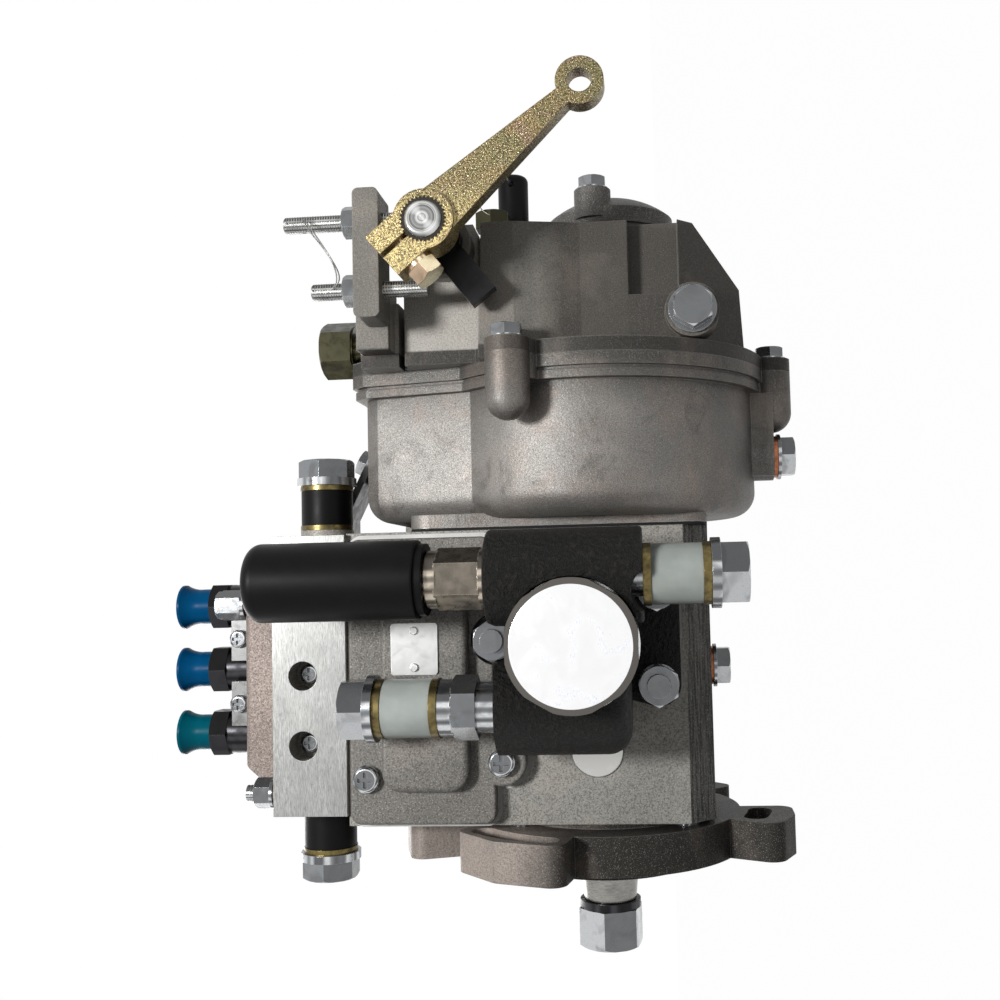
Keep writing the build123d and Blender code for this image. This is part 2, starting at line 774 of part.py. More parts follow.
def outlet_cap(x):
    """Plastic cap over the thread, flared like a trumpet towards its rim."""
    skirt_z0 = holder_hex_z1 + face_gap
    flare_z0 = skirt_z0 + cap_neck_length
    rim_z0 = cap_top_z - cap_rim
    side = Polyline((cap_inner_r, skirt_z0), (cap_small_r, skirt_z0), (cap_small_r, flare_z0))
    side += ThreePointArc((cap_small_r, flare_z0), (cap_small_r + 0.22 * (cap_large_r - cap_small_r),
                                                    (flare_z0 + rim_z0) / 2 + 0.6), (cap_large_r, rim_z0))
    side += Polyline((cap_large_r, rim_z0), (cap_large_r, cap_top_z), (cap_small_r - 1.0, cap_top_z),
                     (cap_small_r - 1.8, cap_top_z - 2), (0, cap_top_z - 2), (0, holder_top_z + face_gap),
                     (cap_inner_r, holder_top_z + face_gap), (cap_inner_r, skirt_z0))
    return Pos(x, 0, 0) * revolve(make_face(Plane.XZ * side), Axis.Z)


def banjo_end(seat, direction, length, washer, hex_height):
    """Washer, sleeve, washer and bolt stacked on a seat along a direction."""
    place = towards(*seat, direction)
    bore = banjo_thread_r + fit_gap
    first = place * ring(washer_r, bore, washer)
    sleeve = place * Pos(0, 0, washer) * ring(sleeve_r, bore, length)
    second = place * Pos(0, 0, washer + length) * ring(washer_r, bore, washer)
    head_at = 2 * washer + length
    bolt = Pos(0, 0, -11) * peg(banjo_thread_r, 11 + head_at + 1)
    bolt += Pos(0, 0, head_at) * peg(banjo_flange_r, banjo_flange_height)
    bolt += Pos(0, 0, head_at + banjo_flange_height) * hexagon(banjo_hex_width, hex_height)
    bolt -= Pos(0, 0, -12) * peg(3, 12 + washer + length / 2)
    return first, second, sleeve, place * bolt


def banjo_sets():
    top_seat = (block_x1 + gallery_boss_top, gallery_y, gallery_z)
    bottom_seat = (block_x0 - gallery_boss_bottom, gallery_y, gallery_z)
    inlet_seat = (feed_inlet_x, feed_inlet_y, feed_inlet_z0)
    outlet_seat = (feed_outlet_x, feed_outlet_y, adapter_top_z())
    top = banjo_end(top_seat, (1, 0, 0), sleeve_length, washer_thickness, banjo_hex_height)
    bottom = banjo_end(bottom_seat, (-1, 0, 0), sleeve_length, washer_thickness, banjo_hex_height)
    inlet = banjo_end(inlet_seat, (0, 0, -1), white_sleeve_length, feed_washer_thickness, feed_hex_height)
    outlet = banjo_end(outlet_seat, (0, 0, 1), white_sleeve_length, feed_washer_thickness, feed_hex_height)
    return top, bottom, inlet, outlet


def adapter_top_z():
    return feed_outlet_z1 + adapter_neck + adapter_hex + adapter_ring


def outlet_adapter():
    """Hexagon union screwed into the outlet chamber, which takes the outlet bolt."""
    place = Pos(feed_outlet_x, feed_outlet_y, feed_outlet_z1)
    ring_z = adapter_neck + adapter_hex
    body = peg(8.5, adapter_neck) + Pos(0, 0, adapter_neck) * hexagon(adapter_width, adapter_hex)
    body += Pos(0, 0, ring_z - 0.5) * peg(washer_r - 0.5, adapter_ring + 0.5)
    body += Pos(0, 0, -9) * peg(banjo_thread_r, 9.5)
    body -= Pos(0, 0, ring_z + adapter_ring - 12) * peg(banjo_thread_r + fit_gap, 13)
    body -= Pos(0, 0, -10) * peg(3, ring_z)
    return place * body


def copper_washers():
    drain = rod_z(drain_washer_r, bottom_z - 1.6, bottom_z, drain_x, drain_y)
    bowl = rod_z(bowl_washer_r, bowl_plug_z - 1.6, bowl_plug_z, bowl_plug_x, bowl_plug_y)
    hole = 5 + fit_gap
    drain -= rod_z(hole, bottom_z - 5, bottom_z + 5, drain_x, drain_y)
    return [drain, bowl - rod_z(hole, bowl_plug_z - 5, bowl_plug_z + 5, bowl_plug_x, bowl_plug_y)]


def hex_plugs():
    drain = towards(drain_x, drain_y, bottom_z - 1.6, (0, 0, -1)) * hex_bolt(13, 6.2, 5, 8, 1.2)
    bowl = towards(bowl_plug_x, bowl_plug_y, bowl_plug_z - 1.6, (0, 0, -1)) * hex_bolt(14, 6.5, 5, 8, 1.2)
    face = cover_plug_place() * (hex_bolt(13, 6.5, 5, 7, 0) + peg(8.4, 1.4))
    return drain, bowl, face, bleed_screw(), expansion_plug()


def cover_plug_place():
    return towards(face_plug_x, face_plug_y, face_plug_z, (0, -1, 0))


def bleed_screw():
    body = peg(5.4, bleed_washer) + Pos(0, 0, bleed_washer) * hexagon(bleed_hex, bleed_length)
    body += Pos(0, 0, -7) * peg(3, 8)
    body -= Pos(0, 0, bleed_washer + bleed_length) * Box(13, 1.5, 3.6)
    return Pos(bleed_x, bleed_y, head_top_z) * body


def cross_head_screws():
    for x in cylinder_x:
        at = towards(x, pad_face_y + pad_hole_depth, pad_hole_z, (0, -1, 0))
        yield at * screw(3.6, 2.6, locating_screw_r, -pad_face_y - pad_hole_depth - barrel_r - 0.2, 4.4)
    for i in range(cylinder_count - 1):
        x = (cylinder_x[i] + cylinder_x[i + 1]) / 2
        at = towards(x, -clamp_outer_y, (clamp_z0 + clamp_z1) / 2, (0, -1, 0))
        yield at * screw(3.5, 2.4, clamp_screw_r, 2 * clamp_outer_y - 2, 4.4)
    for x, z in cover_screws:
        at = towards(x, cover_face_y - cover_thickness, z, (0, -1, 0))
        yield at * screw(4.9, 3.2, cover_screw_r, cover_thickness + cover_gasket + 9, 5.6)


def studs():
    for x, z in feed_studs:
        yield rod_y(4, feed_face_y - feed_flange_thickness - 10.5, near_face_y + 10, x, z)
    yield rod_z(3, block_top_z - 7, block_top_z + shoulder_boss + 10.8, shoulder_stud_x, shoulder_stud_y)


def nut(width, height, hole):
    return hexagon(width, height) - Pos(0, 0, -1) * peg(hole + fit_gap, height + 2)


def hex_nuts():
    for x, z in feed_studs:
        at = towards(x, feed_face_y - feed_flange_thickness, z, (0, -1, 0))
        stack = ring(7.0, 4 + fit_gap, 1.4) + Pos(0, 0, 1.4) * nut(13, 6.5, 4)
        yield at * stack
    seat = Pos(shoulder_stud_x, shoulder_stud_y, block_top_z + shoulder_boss)
    yield seat * (ring(5.8, 3 + fit_gap, 1.2) + Pos(0, 0, 1.2) * nut(10, 6.2, 3))
    for x in (upper_screw_x, lower_screw_x):
        yield Pos(x, stop_y, ear_z1) * nut(10, 4.8, stop_screw_r)


# Side cover

def cover_outline(grow):
    """Side cover outline with its two ears, as a sketch in X and Z."""
    width = cover_x1 - cover_x0 + 2 * grow
    height = cover_z1 - cover_z0 + 2 * grow
    at = Pos((cover_x0 + cover_x1) / 2, (cover_z0 + cover_z1) / 2)
    outline = at * RectangleRounded(width, height, 4 + grow)
    for x, z in cover_screws[2:]:
        outline += Pos(x, z) * Circle(cover_ear_r + grow)
    return outline


def service_side(y):
    """Plane whose local X is X and local Y is Z, looking out of the near face."""
    return Plane(origin=(0, y, 0), x_dir=(1, 0, 0), z_dir=(0, -1, 0))


def side_cover():
    plate = extrude(service_side(cover_face_y) * cover_outline(0), cover_thickness)
    rise = cover_thickness + platform_height
    pad = Pos((platform_x0 + platform_x1) / 2, (platform_z0 + platform_z1) / 2) * RectangleRounded(
        platform_x1 - platform_x0, platform_z1 - platform_z0, 7)
    platform = extrude(service_side(cover_face_y - 0.5) * pad, rise - 0.5)
    platform = fillet(platform.edges().group_by(Axis.Y)[0], 2.2)
    cover = fillet(plate.edges().group_by(Axis.Y)[0], 1.0) + platform
    hollow = Pos((platform_x0 + platform_x1) / 2, (platform_z0 + platform_z1) / 2) * Rectangle(
        platform_x1 - platform_x0 - 8, platform_z1 - platform_z0 - 8)
    cover -= extrude(service_side(cover_face_y + 1) * hollow, rise - 2)
    for x, z in cover_screws:
        cover -= rod_y(cover_screw_r + fit_gap, cover_face_y - rise - 1, cover_face_y + 1, x, z)
    return cover - extrude(service_side(cover_face_y + 1) * feed_flange_outline(1.4), cover_thickness + 2)


def paper_gaskets():
    """Gaskets under the side cover and under the feed pump."""
    width = cover_x1 - cover_x0 - 2 * window_margin - 3
    height = shoulder_z - 2 * wall - window_z0
    sheet = cover_outline(1.6) - feed_flange_outline(1.4)
    sheet -= Pos((cover_x0 + cover_x1) / 2, window_z0 + height / 2) * Rectangle(width, height)
    for x, z in cover_screws:
        sheet -= Pos(x, z) * Circle(cover_screw_r + fit_gap)
    feed = feed_flange_outline(0.8) - Pos(feed_x, feed_z) * Circle(feed_seat_r)
    for x, z in feed_studs:
        feed -= Pos(x, z) * Circle(4 + fit_gap)
    near = service_side(near_face_y)
    return extrude(near * sheet, cover_gasket), extrude(near * feed, feed_gasket)


def name_plate():
    """Blank plate held by two drive rivets."""
    middle = Pos((plate_x0 + plate_x1) / 2, (plate_z0 + plate_z1) / 2)
    top = cover_face_y - cover_thickness - platform_height
    sheet = middle * RectangleRounded(plate_x1 - plate_x0, plate_z1 - plate_z0, 1.2)
    holes = [(plate_x1 - 2.6, (plate_z0 + plate_z1) / 2), (plate_x0 + 2.6, (plate_z0 + plate_z1) / 2)]
    for x, z in holes:
        sheet -= Pos(x, z) * Circle(0.85)
    plate = extrude(service_side(top) * sheet, plate_thickness)
    rivets = []
    for x, z in holes:
        head = peg(1.5, 0.8)
        head = fillet(head.edges().group_by(Axis.Z)[-1], 0.5)
        rivet = head + Pos(0, 0, -0.3) * Cylinder(0.8, 0.6)
        rivets.append(towards(x, top - plate_thickness, z, (0, -1, 0)) * rivet)
    return [plate] + rivets


def expansion_plug():
    disc = peg(expansion_plug_r, 3.0)
    disc = fillet(disc.edges().group_by(Axis.Z)[-1], 0.7)
    return towards(expansion_plug_x, near_face_y + 2, expansion_plug_z, (0, -1, 0)) * disc


# Feed pump

def feed_flange_outline(grow):
    """Rounded triangle around the three studs."""
    corners = [Pos(x, z) * Circle(feed_lobe_r + grow) for x, z in feed_studs]
    return make_hull([edge for corner in corners for edge in corner.edges()])


def feed_pump_body():
    flange_end = feed_face_y - feed_flange_thickness
    body = extrude(service_side(feed_face_y) * feed_flange_outline(0), feed_flange_thickness)
    body += rod_y(feed_barrel_r, feed_front_y, flange_end + 1, feed_x, feed_z)
    inlet = rod_z(feed_inlet_r, feed_inlet_z0, feed_inlet_z1, feed_inlet_x, feed_inlet_y)
    outlet = rod_z(feed_outlet_r, feed_outlet_z0, feed_outlet_z1, feed_outlet_x, feed_outlet_y)
    outlet = fillet(outlet.edges().group_by(Axis.Z)[0], feed_outlet_round)
    inlet = fillet(inlet.edges(), 1.2)
    body += inlet + outlet
    body += block(feed_outlet_x + 2, feed_inlet_x - 2, feed_inlet_y + 2, flange_end + 1,
                  feed_z - feed_web_half, feed_z + feed_web_half)
    body -= rod_y(piston_r + running, feed_front_y - 1, flange_end - 6, feed_x, feed_z)
    body -= rod_y(push_rod_r + running, flange_end - 7, feed_face_y + 1, feed_x, feed_z)
    body -= rod_y(feed_seat_r, feed_face_y - 3, feed_face_y + 1, feed_x, feed_z)
    bolt_bore = banjo_thread_r + fit_gap
    body -= rod_z(bolt_bore, feed_inlet_z0 - 1, feed_inlet_z0 + 13, feed_inlet_x, feed_inlet_y)
    body -= rod_z(bolt_bore, feed_inlet_z1 - 12, feed_inlet_z1 + 1, feed_inlet_x, feed_inlet_y)
    body -= rod_z(4, feed_inlet_z0, feed_inlet_z1, feed_inlet_x, feed_inlet_y)
    body -= rod_z(bolt_bore, feed_outlet_z1 - 12, feed_outlet_z1 + 1, feed_outlet_x, feed_outlet_y)
    body -= rod_z(4, feed_outlet_z0 + 6, feed_outlet_z1, feed_outlet_x, feed_outlet_y)
    body -= rod_y(feed_plug_rim_r + 0.4, feed_front_y - 12, feed_front_y, feed_x, feed_z)
    for x, z in feed_studs:
        body -= rod_y(4 + fit_gap, flange_end - 30, feed_face_y + 1, x, z)
        body -= rod_y(feed_lobe_r, flange_end - 60, flange_end, x, z)
    return body


def feed_pump_plug():
    """Large hexagon plug with a turned face that closes the piston bore."""
    bar = extrude(RegularPolygon(feed_plug_width / 2, 6, major_radius=False), feed_plug_height)
    turned = peg(feed_plug_rim_r, feed_plug_height)
    turned = chamfer(turned.edges().group_by(Axis.Z)[-1], 1.6, feed_plug_rim_r - feed_plug_disc_r)
    head = bar & turned
    head += peg(feed_plug_rim_r, 2.0)
    head += Pos(0, 0, -7) * peg(piston_r - 0.02, 8)
    return towards(feed_x, feed_front_y, feed_z, (0, -1, 0)) * head


def feed_piston():
    """Piston and push rod, at the outer end of the stroke, clear of the tip of the feed cam."""
    reach = feed_cam_base_r + piston_stroke + push_rod_gap
    start = feed_face_y - feed_flange_thickness - 7 - piston_stroke - piston_length
    piston = rod_y(piston_r, start, start + piston_length, feed_x, feed_z)
    piston += rod_y(push_rod_r, start + 1, -reach, feed_x, feed_z)
    return piston


# Hand primer

def primer_barrel():
    place = Pos(feed_inlet_x, feed_inlet_y, feed_inlet_z1)
    length = primer_hex_z1 - feed_inlet_z1
    body = peg(9.6, 2.2) + Pos(0, 0, 2) * hexagon(primer_hex_width, length - 5, 0.05)
    body += Pos(0, 0, length - 3.5) * peg(9.4, 3.5)
    body += peg(primer_tube_r, primer_tube_z1 - feed_inlet_z1)
    body += Pos(0, 0, -9) * peg(banjo_thread_r, 10)
    body -= Pos(0, 0, 2) * peg(primer_bore_r, primer_tube_z1)
    body -= Pos(0, 0, -10) * peg(3, 14)
    lip = ring(primer_tube_r, primer_rod_r + running, 3)
    return place * body + Pos(feed_inlet_x, feed_inlet_y, primer_tube_z1 - 3) * lip


def primer_rod():
    piston_z0 = feed_inlet_z1 + 5
    piston = rod_z(primer_bore_r - running, piston_z0, piston_z0 + 9, feed_inlet_x, feed_inlet_y)
    return piston + rod_z(primer_rod_r, piston_z0 + 8, knob_z1 - 5, feed_inlet_x, feed_inlet_y)


def primer_knob():
    knob = rod_z(knob_r, knob_z0, knob_z1, feed_inlet_x, feed_inlet_y)
    knob = fillet(knob.edges().group_by(Axis.Z)[-1], 4.5)
    knob = fillet(knob.edges().group_by(Axis.Z)[0], 0.8)
    knob += rod_z(knob_lip_r, knob_z0 - knob_lip_length, knob_z0 + 1, feed_inlet_x, feed_inlet_y)
    knob -= rod_z(knob_r - knob_wall, knob_z0 - knob_lip_length - 1, knob_z1 - 12, feed_inlet_x, feed_inlet_y)
    return knob - rod_z(primer_rod_r, knob_z1 - 13, knob_z1 - 5, feed_inlet_x, feed_inlet_y)


# Governor bowl and cover

def bowl_sketch(radius, grow):
    """Bowl outline in Y and Z: a circle on the shaft with a tapered end towards the stop screws."""
    end = bowl_end_z + grow
    half = wing_half + grow
    cut = wing_corner
    y, z = on_circle(radius, wing_root_angle)
    wing = [(y, z), (-half, end - cut), (-half + cut, end), (half - cut, end), (half, end - cut), (-y, z)]
    return Circle(radius) + make_face(Polyline(*wing, close=True))


def across(x):
    """Plane whose local X is Y and local Y is Z, looking along +X."""
    return Plane(origin=(x, 0, 0), x_dir=(0, 1, 0), z_dir=(1, 0, 0))


def rim_band(inset, x0, x1):
    """Slice of the rim, its outline moved in by the inset."""
    radius = rim_r - inset
    return extrude(across(x0) * bowl_sketch(radius, radius - bowl_r), x1 - x0)


def governor_bowl():
    shell = extrude(across(bowl_wall_x0) * bowl_sketch(bowl_r, 0), split_x - bowl_wall_x0)
    shell = fillet(shell.edges().group_by(Axis.X)[0], bowl_corner_r)
    groove_x1 = rim_groove_x + rim_groove_width
    shell += rim_band(lower_rim_step, bowl_rim_x0, rim_groove_x)
    shell += rim_band(rim_groove_depth, rim_groove_x, groove_x1)
    shell += rim_band(0, groove_x1, split_x)
    foot = section([(near_face_y, bowl_foot_z0), (far_face_y, bowl_foot_z0), (far_face_y, bowl_foot_z1),
                    (near_face_y, bowl_foot_z1)], bowl_x0, bowl_foot_x1)
    foot = fillet(foot.edges().filter_by(Axis.X), 8)
    shell += foot
    for angle, out in lugs:
        y, z = on_circle(rim_r + out, angle)
        inner_y, inner_z = on_circle(rim_r + out - lug_r, angle)
        shell += rod_x(lug_r, lug_x0, split_x, y, z) + Pos(lug_x0, y, z) * Sphere(lug_r)
        shell += rod_x(lug_r, bowl_rim_x0, split_x, inner_y, inner_z)
    shell += block(web_x0, bowl_rim_x0, web_y0, web_y1, bowl_plug_z, bowl_plug_z + 15)
    shell += rod_z(9.0, bowl_plug_z, bowl_plug_z + 10, bowl_plug_x, bowl_plug_y)
    shell += strap_seat(-12) * peg(strap_boss_r, 12)
    shell -= extrude(across(bowl_x0 + 9) * bowl_sketch(bowl_r - bowl_wall, -bowl_wall), split_x)
    shell -= rod_x(bearing_r - 2, bowl_x0 - 1, bowl_x0 + 12)
    shell -= block(bowl_x0 - 1, bowl_x0 + 12, rack_back_y - 7, rack_back_y + 0.6, rack_z0 - 0.6, rack_z1 + 0.6)
    shell -= rod_z(5 + fit_gap, bowl_plug_z - 1, bowl_plug_z + 16, bowl_plug_x, bowl_plug_y)
    for angle, out in lugs:
        y, z = on_circle(rim_r + out, angle)
        shell -= rod_x(3 + fit_gap, lug_bolt_x0, split_x + 1, y, z)
    shell -= strap_seat(-8) * peg(3 + fit_gap, 10)
    shell -= rod_y(2.5 + fit_gap, -60, 60, governor_pivot_x, governor_pivot_z) & block(
        170, split_x, -governor_pin_half, governor_pin_half, 30, 60)
    return shell


def governor_gaskets():
    outline = Pos(-2, (bowl_foot_z0 + bowl_foot_z1) / 2) * RectangleRounded(
        far_face_y - near_face_y, bowl_foot_z1 - bowl_foot_z0, 7.9)
    outline -= Circle(bearing_r - 2)
    sheet = extrude(across(body_x1) * outline, bowl_x0 - body_x1)
    return sheet


def cover_shell(s):
    """Dome of the governor cover, moved in by s: common part of its front, side and plan outlines."""
    top = cover_top_x - s
    near = cover_near_y + s
    far = cover_far_y - s
    left = cover_left_z - s
    right = cover_right_z + s
    reach = bowl_r + 10
    front = profile([
        (split_x, right), (207, right + 1.5), (top, right + 18.5), (top, left - 2), (split_x, left),
    ], reach, -reach)
    side = extrude(Plane.XY.offset(-reach) * make_face(Polyline(
        (split_x, near), (top, near), (top, far - 12), (213, far - 2), (split_x, far), close=True)), 2 * reach)
    step = near + cover_step
    plan = section([
        (near, left), (near, left - 13), (step, 2.4), (step, -14), (step + 2, -32), (-28 + s, right),
        (26 - s, right), (50 - s, -34), (far, 0), (50 - s, left - 8.5), (40 - s, left),
    ], split_x, cover_top_x)
    return front & side & plan


def cover_blocks():
    """Shaft box and end block beside the dome, with the narrow slots between them."""
    box = block(split_x, side_box_x1, side_box_near_y, 30, side_box_z0, side_box_z1)
    box += block(split_x, cover_block_x1, -48, 26, side_box_z1 + slot_width, cover_block_z1)
    bridge = block(split_x, cover_block_x1 - 3, side_box_near_y + 8, 26, cover_left_z - 5, cover_block_z1 - 8)
    housing = profile([(split_x, 34), (split_x, 66), (226, 66), (230, 62), (230, 40.5), (212, 34)], -14, -50)
    return box + bridge + housing


def governor_cover():
    flange = rim_band(0, split_x, split_x + cover_flange)
    for angle, out in lugs:
        y, z = on_circle(rim_r + out, angle)
        inner_y, inner_z = on_circle(rim_r + out - lug_r, angle)
        flange += rod_x(lug_r, split_x, split_x + cover_flange, y, z)
        flange += rod_x(lug_r, split_x, split_x + cover_flange, inner_y, inner_z)
    lid_seat_x = cover_top_x + lid_neck
    cover = flange + cover_shell(0) + cover_blocks() + stop_ear()
    cover += rod_x(lid_r - 1, cover_top_x - 1, lid_seat_x, lid_y, lid_z)
    cover += rod_x(lid_boss_r - 0.5, cover_top_x - 1, lid_seat_x, *lid_boss())
    cover += rod_x(6.3, cover_top_x - 20, cover_top_x, full_load_y, full_load_z)
    cover += rod_x(5.0, cover_top_x - 16, cover_top_x, vent_y, vent_z)
    cover += rod_y(11, -60, -30, shaft_x, shaft_z)
    cover += rod_y(face_plug_boss_r, face_plug_y, face_plug_y + 14, face_plug_x, face_plug_z)
    hollow = cover_shell(wall) & block(split_x - 1, cover_top_x - wall, -bowl_r, bowl_r, -bowl_r, bowl_r)
    cover -= hollow - block(pocket_x0 - wall, cover_top_x, cover_near_y, pocket_floor_y + wall,
                            pocket_z0 - wall, pocket_z1 + wall)
    cover -= block(pocket_x0, cover_top_x + 1, cover_near_y - 2, pocket_floor_y, pocket_z0, pocket_z1)
    inner_r = bowl_r - bowl_wall - 8
    cover -= extrude(across(split_x - 1) * Circle(inner_r), cover_flange + 1.1) & block(
        split_x - 2, split_x + cover_flange + 2, -inner_r, inner_r, -inner_r, 32)
    cover -= block(split_x - 1, 192, -22, 22, 30, cover_block_z1 - 8)
    cover -= rod_x(lid_opening_r, cover_top_x - wall - 1, lid_seat_x + 1, lid_y, lid_z)
    cover -= rod_y(shaft_r + running, -62, -22, shaft_x, shaft_z)
    cover -= rod_y(5 + fit_gap, face_plug_y - 1, face_plug_y + 9, face_plug_x, face_plug_z)
    for x in (upper_screw_x, lower_screw_x):
        cover -= rod_z(stop_screw_r + fit_gap, ear_z0 - 4, ear_z1 + 1, x, stop_y)
    for angle, out in lugs:
        y, z = on_circle(rim_r + out, angle)
        cover -= rod_x(3 + fit_gap, split_x - 1, split_x + cover_flange + 1, y, z)
        cover -= rod_x(lug_bolt_clear, split_x + cover_flange, split_x + 16, y, z)
    cover -= rod_x(3 + fit_gap, lid_seat_x + lid_boss_top - lid_bolt_length - 1, lid_seat_x + 1, *lid_boss())
    cover -= rod_z(6 + fit_gap, cover_block_z1 - 7, cover_block_z1 + 1, union_x, union_y)
    return cover


def stop_ear():
    """Upright ear that carries the two stop screws, with its foot on the block below."""
    upright = block(ear_x0, ear_top_x, stop_y - ear_half_y, stop_y + ear_half_y, ear_z0, ear_z1)
    upright = fillet(upright.edges().filter_by(Axis.Y), 2.0)
    foot_z0 = ear_z0 + 0.8
    foot_z1 = cover_block_z1 - 1.0
    foot = profile([(ear_x0 - 8, foot_z0), (ear_x0 - 8, foot_z1), (203, foot_z1), (206, ear_z1), (206, foot_z0)],
                   stop_y + 22, stop_y + ear_half_y)
    return upright + foot


def governor_lid():
    """Domed inspection lid with a boss for its bolt."""
    top = lid_ring_height + lid_dome_height
    ball_r = (lid_r ** 2 + lid_dome_height ** 2) / (2 * lid_dome_height)
    middle_r = 0.6 * lid_r
    middle_z = top - ball_r + math.sqrt(ball_r ** 2 - middle_r ** 2)
    outline = Polyline((0, top), (0, 0), (lid_r, 0), (lid_r, lid_ring_height))
    outline += ThreePointArc((lid_r, lid_ring_height), (middle_r, middle_z), (0, top))
    seat_x = cover_top_x + lid_neck
    lid = towards(seat_x, lid_y, lid_z, (1, 0, 0)) * revolve(make_face(Plane.XZ * outline), Axis.Z)
    lid += rod_x(lid_boss_r, seat_x + 2, seat_x + lid_boss_top, *lid_boss())
    return lid - rod_x(3 + fit_gap, seat_x - 1, seat_x + lid_boss_top + 1, *lid_boss())


def lid_boss():
    return lid_y + lid_boss_dy, lid_z + lid_boss_dz


def hex_bolts():
    for angle, out in lugs:
        y, z = on_circle(rim_r + out, angle)
        yield towards(split_x + cover_flange, y, z, (1, 0, 0)) * hex_bolt(10, 4.8, 3, 17, 0.8)
    y, z = lid_boss()
    yield towards(cover_top_x + lid_neck + lid_boss_top, y, z, (1, 0, 0)) * hex_bolt(10, 5.0, 3, lid_bolt_length, 0.8)
    yield strap_seat(strap_thickness) * hex_bolt(10, 4.8, 3, 9, 0.8)
    yield towards(block_x1 + strap_thickness, strap_bolt_y, strap_foot_z, (1, 0, 0)) * hex_bolt(10, 4.8, 3, 12, 0.8)
    for angle in flange_screw_angles:
        y, z = on_circle(flange_screw_circle, angle)
        yield towards(5.5, y, z, (-1, 0, 0)) * hex_bolt(12, 5.0, flange_screw_r, 22, 0)


def strap_seat(lift):
    """Place on the strap's lower face at its bowl bolt, raised by the lift, looking out along the bolt."""
    a = math.radians(strap_slope)
    knee_x = strap_leg_x - strap_thickness * math.tan(a / 2)
    z = strap_leg_z - strap_thickness - (strap_bolt_x - knee_x) * math.tan(a)
    out = (math.sin(a), 0, math.cos(a))
    return towards(strap_bolt_x + lift * out[0], strap_bolt_y, z + lift * out[2], out)


def strap_bracket():
    """Bent strap from the block's end to the governor bowl."""
    t = strap_thickness
    a = math.radians(strap_slope)
    x0 = block_x1
    foot_top = strap_foot_z + strap_foot_half
    end_z = strap_leg_z - (strap_end_x - strap_leg_x) * math.tan(a)
    knee_x = strap_leg_x - t * math.tan(a / 2)
    outline = [(x0, foot_top), (x0, strap_leg_z - t), (knee_x, strap_leg_z - t),
               (strap_end_x - t * math.sin(a), end_z - t * math.cos(a)), (strap_end_x, end_z),
               (strap_leg_x, strap_leg_z), (x0 + t, strap_leg_z), (x0 + t, foot_top)]
    strap = profile(outline, strap_bolt_y + strap_half_width, strap_bolt_y - strap_half_width)
    strap -= rod_x(3 + fit_gap, x0 - 1, x0 + t + 1, strap_bolt_y, strap_foot_z)
    return strap - strap_seat(-1) * peg(3 + fit_gap, t + 2)


def brass_fittings():
    """Large hexagon union on the end of the block, and the small nut beside the black cap."""
    union = peg(union_neck_r, union_neck)
    union += Pos(0, 0, union_neck - union_collar) * peg(union_neck_r + 2.4, union_collar)
    union += Pos(0, 0, union_neck) * hexagon(union_width, union_hex) + Pos(0, 0, -6) * peg(6, 7)
    union = Pos(union_x, union_y, cover_block_z1) * union
    small = peg(3.6, vent_stem) + Pos(0, 0, vent_stem) * hexagon(vent_width, vent_height)
    return union, towards(cover_top_x, vent_y, vent_z, (1, 0, 0)) * small


def full_load_cap():
    """Black cap with a rounded top and a cross hole for its seal wire."""
    body = peg(full_load_r, full_load_length)
    body = fillet(body.edges().group_by(Axis.Z)[-1], 2.2)
    body = towards(cover_top_x, full_load_y, full_load_z, (1, 0, 0)) * body
    hole_x = cover_top_x + full_load_length - 4.5
    return body - rod_y(1.0, full_load_y - full_load_r - 1, full_load_y + full_load_r + 1, hole_x, full_load_z)


# Lever group

def in_lever(x, z):
    """Point given along and across the lever, in X and Z."""
    a = math.radians(lever_angle)
    return shaft_x + x * math.cos(a) - z * math.sin(a), shaft_z + x * math.sin(a) + z * math.cos(a)


def throttle_lever():
    back_y = lever_front_y + lever_thickness
    local = Plane(origin=(shaft_x, back_y, shaft_z), z_dir=(0, -1, 0),
                  x_dir=(math.cos(math.radians(lever_angle)), 0, math.sin(math.radians(lever_angle))))
    root = lever_arm_root / 2
    tip = lever_arm_tip / 2
    arm = make_face(Polyline((0, -root), (lever_length - 8, -tip), (lever_length, -tip), (lever_length, tip),
                             (lever_length - 8, tip), (0, root), close=True))
    clamp = Pos(-clamp_end / 2, 0) * Rectangle(clamp_end, clamp_width)
    flat = Circle(lever_hub_r) + arm + Pos(lever_length, 0) * Circle(lever_eye_r) + clamp
    lever = extrude(local * flat, lever_thickness - 2)
    hub = Circle(lever_hub_r) + clamp
    lever += extrude(Plane(local.location * Location((0, 0, -3))) * hub, lever_thickness + 3)
    behind = Plane(local.location * Location((0, 0, -4)))
    lever -= extrude(behind * Circle(shaft_r + running), 30)
    lever -= extrude(behind * (Pos(lever_length, 0) * Circle(lever_eye_hole_r)), 30)
    slot = Pos(-clamp_end / 2 - 4, 0) * Rectangle(clamp_end, clamp_slot)
    lever -= extrude(behind * slot, 30)
    x, z = in_lever(-clamp_bolt_at, -20)
    across_dir = (-math.sin(math.radians(lever_angle)), 0, math.cos(math.radians(lever_angle)))
    mid_y = lever_front_y + lever_thickness / 2 + 1
    lever -= towards(x, mid_y, z, across_dir) * peg(clamp_bolt_r + fit_gap, 40)
    x, z = in_lever(-clamp_bolt_at, -clamp_width / 2)
    return lever - towards(x, mid_y, z, (-across_dir[0], 0, -across_dir[2])) * peg(clamp_washer_r + 0.4, 4)


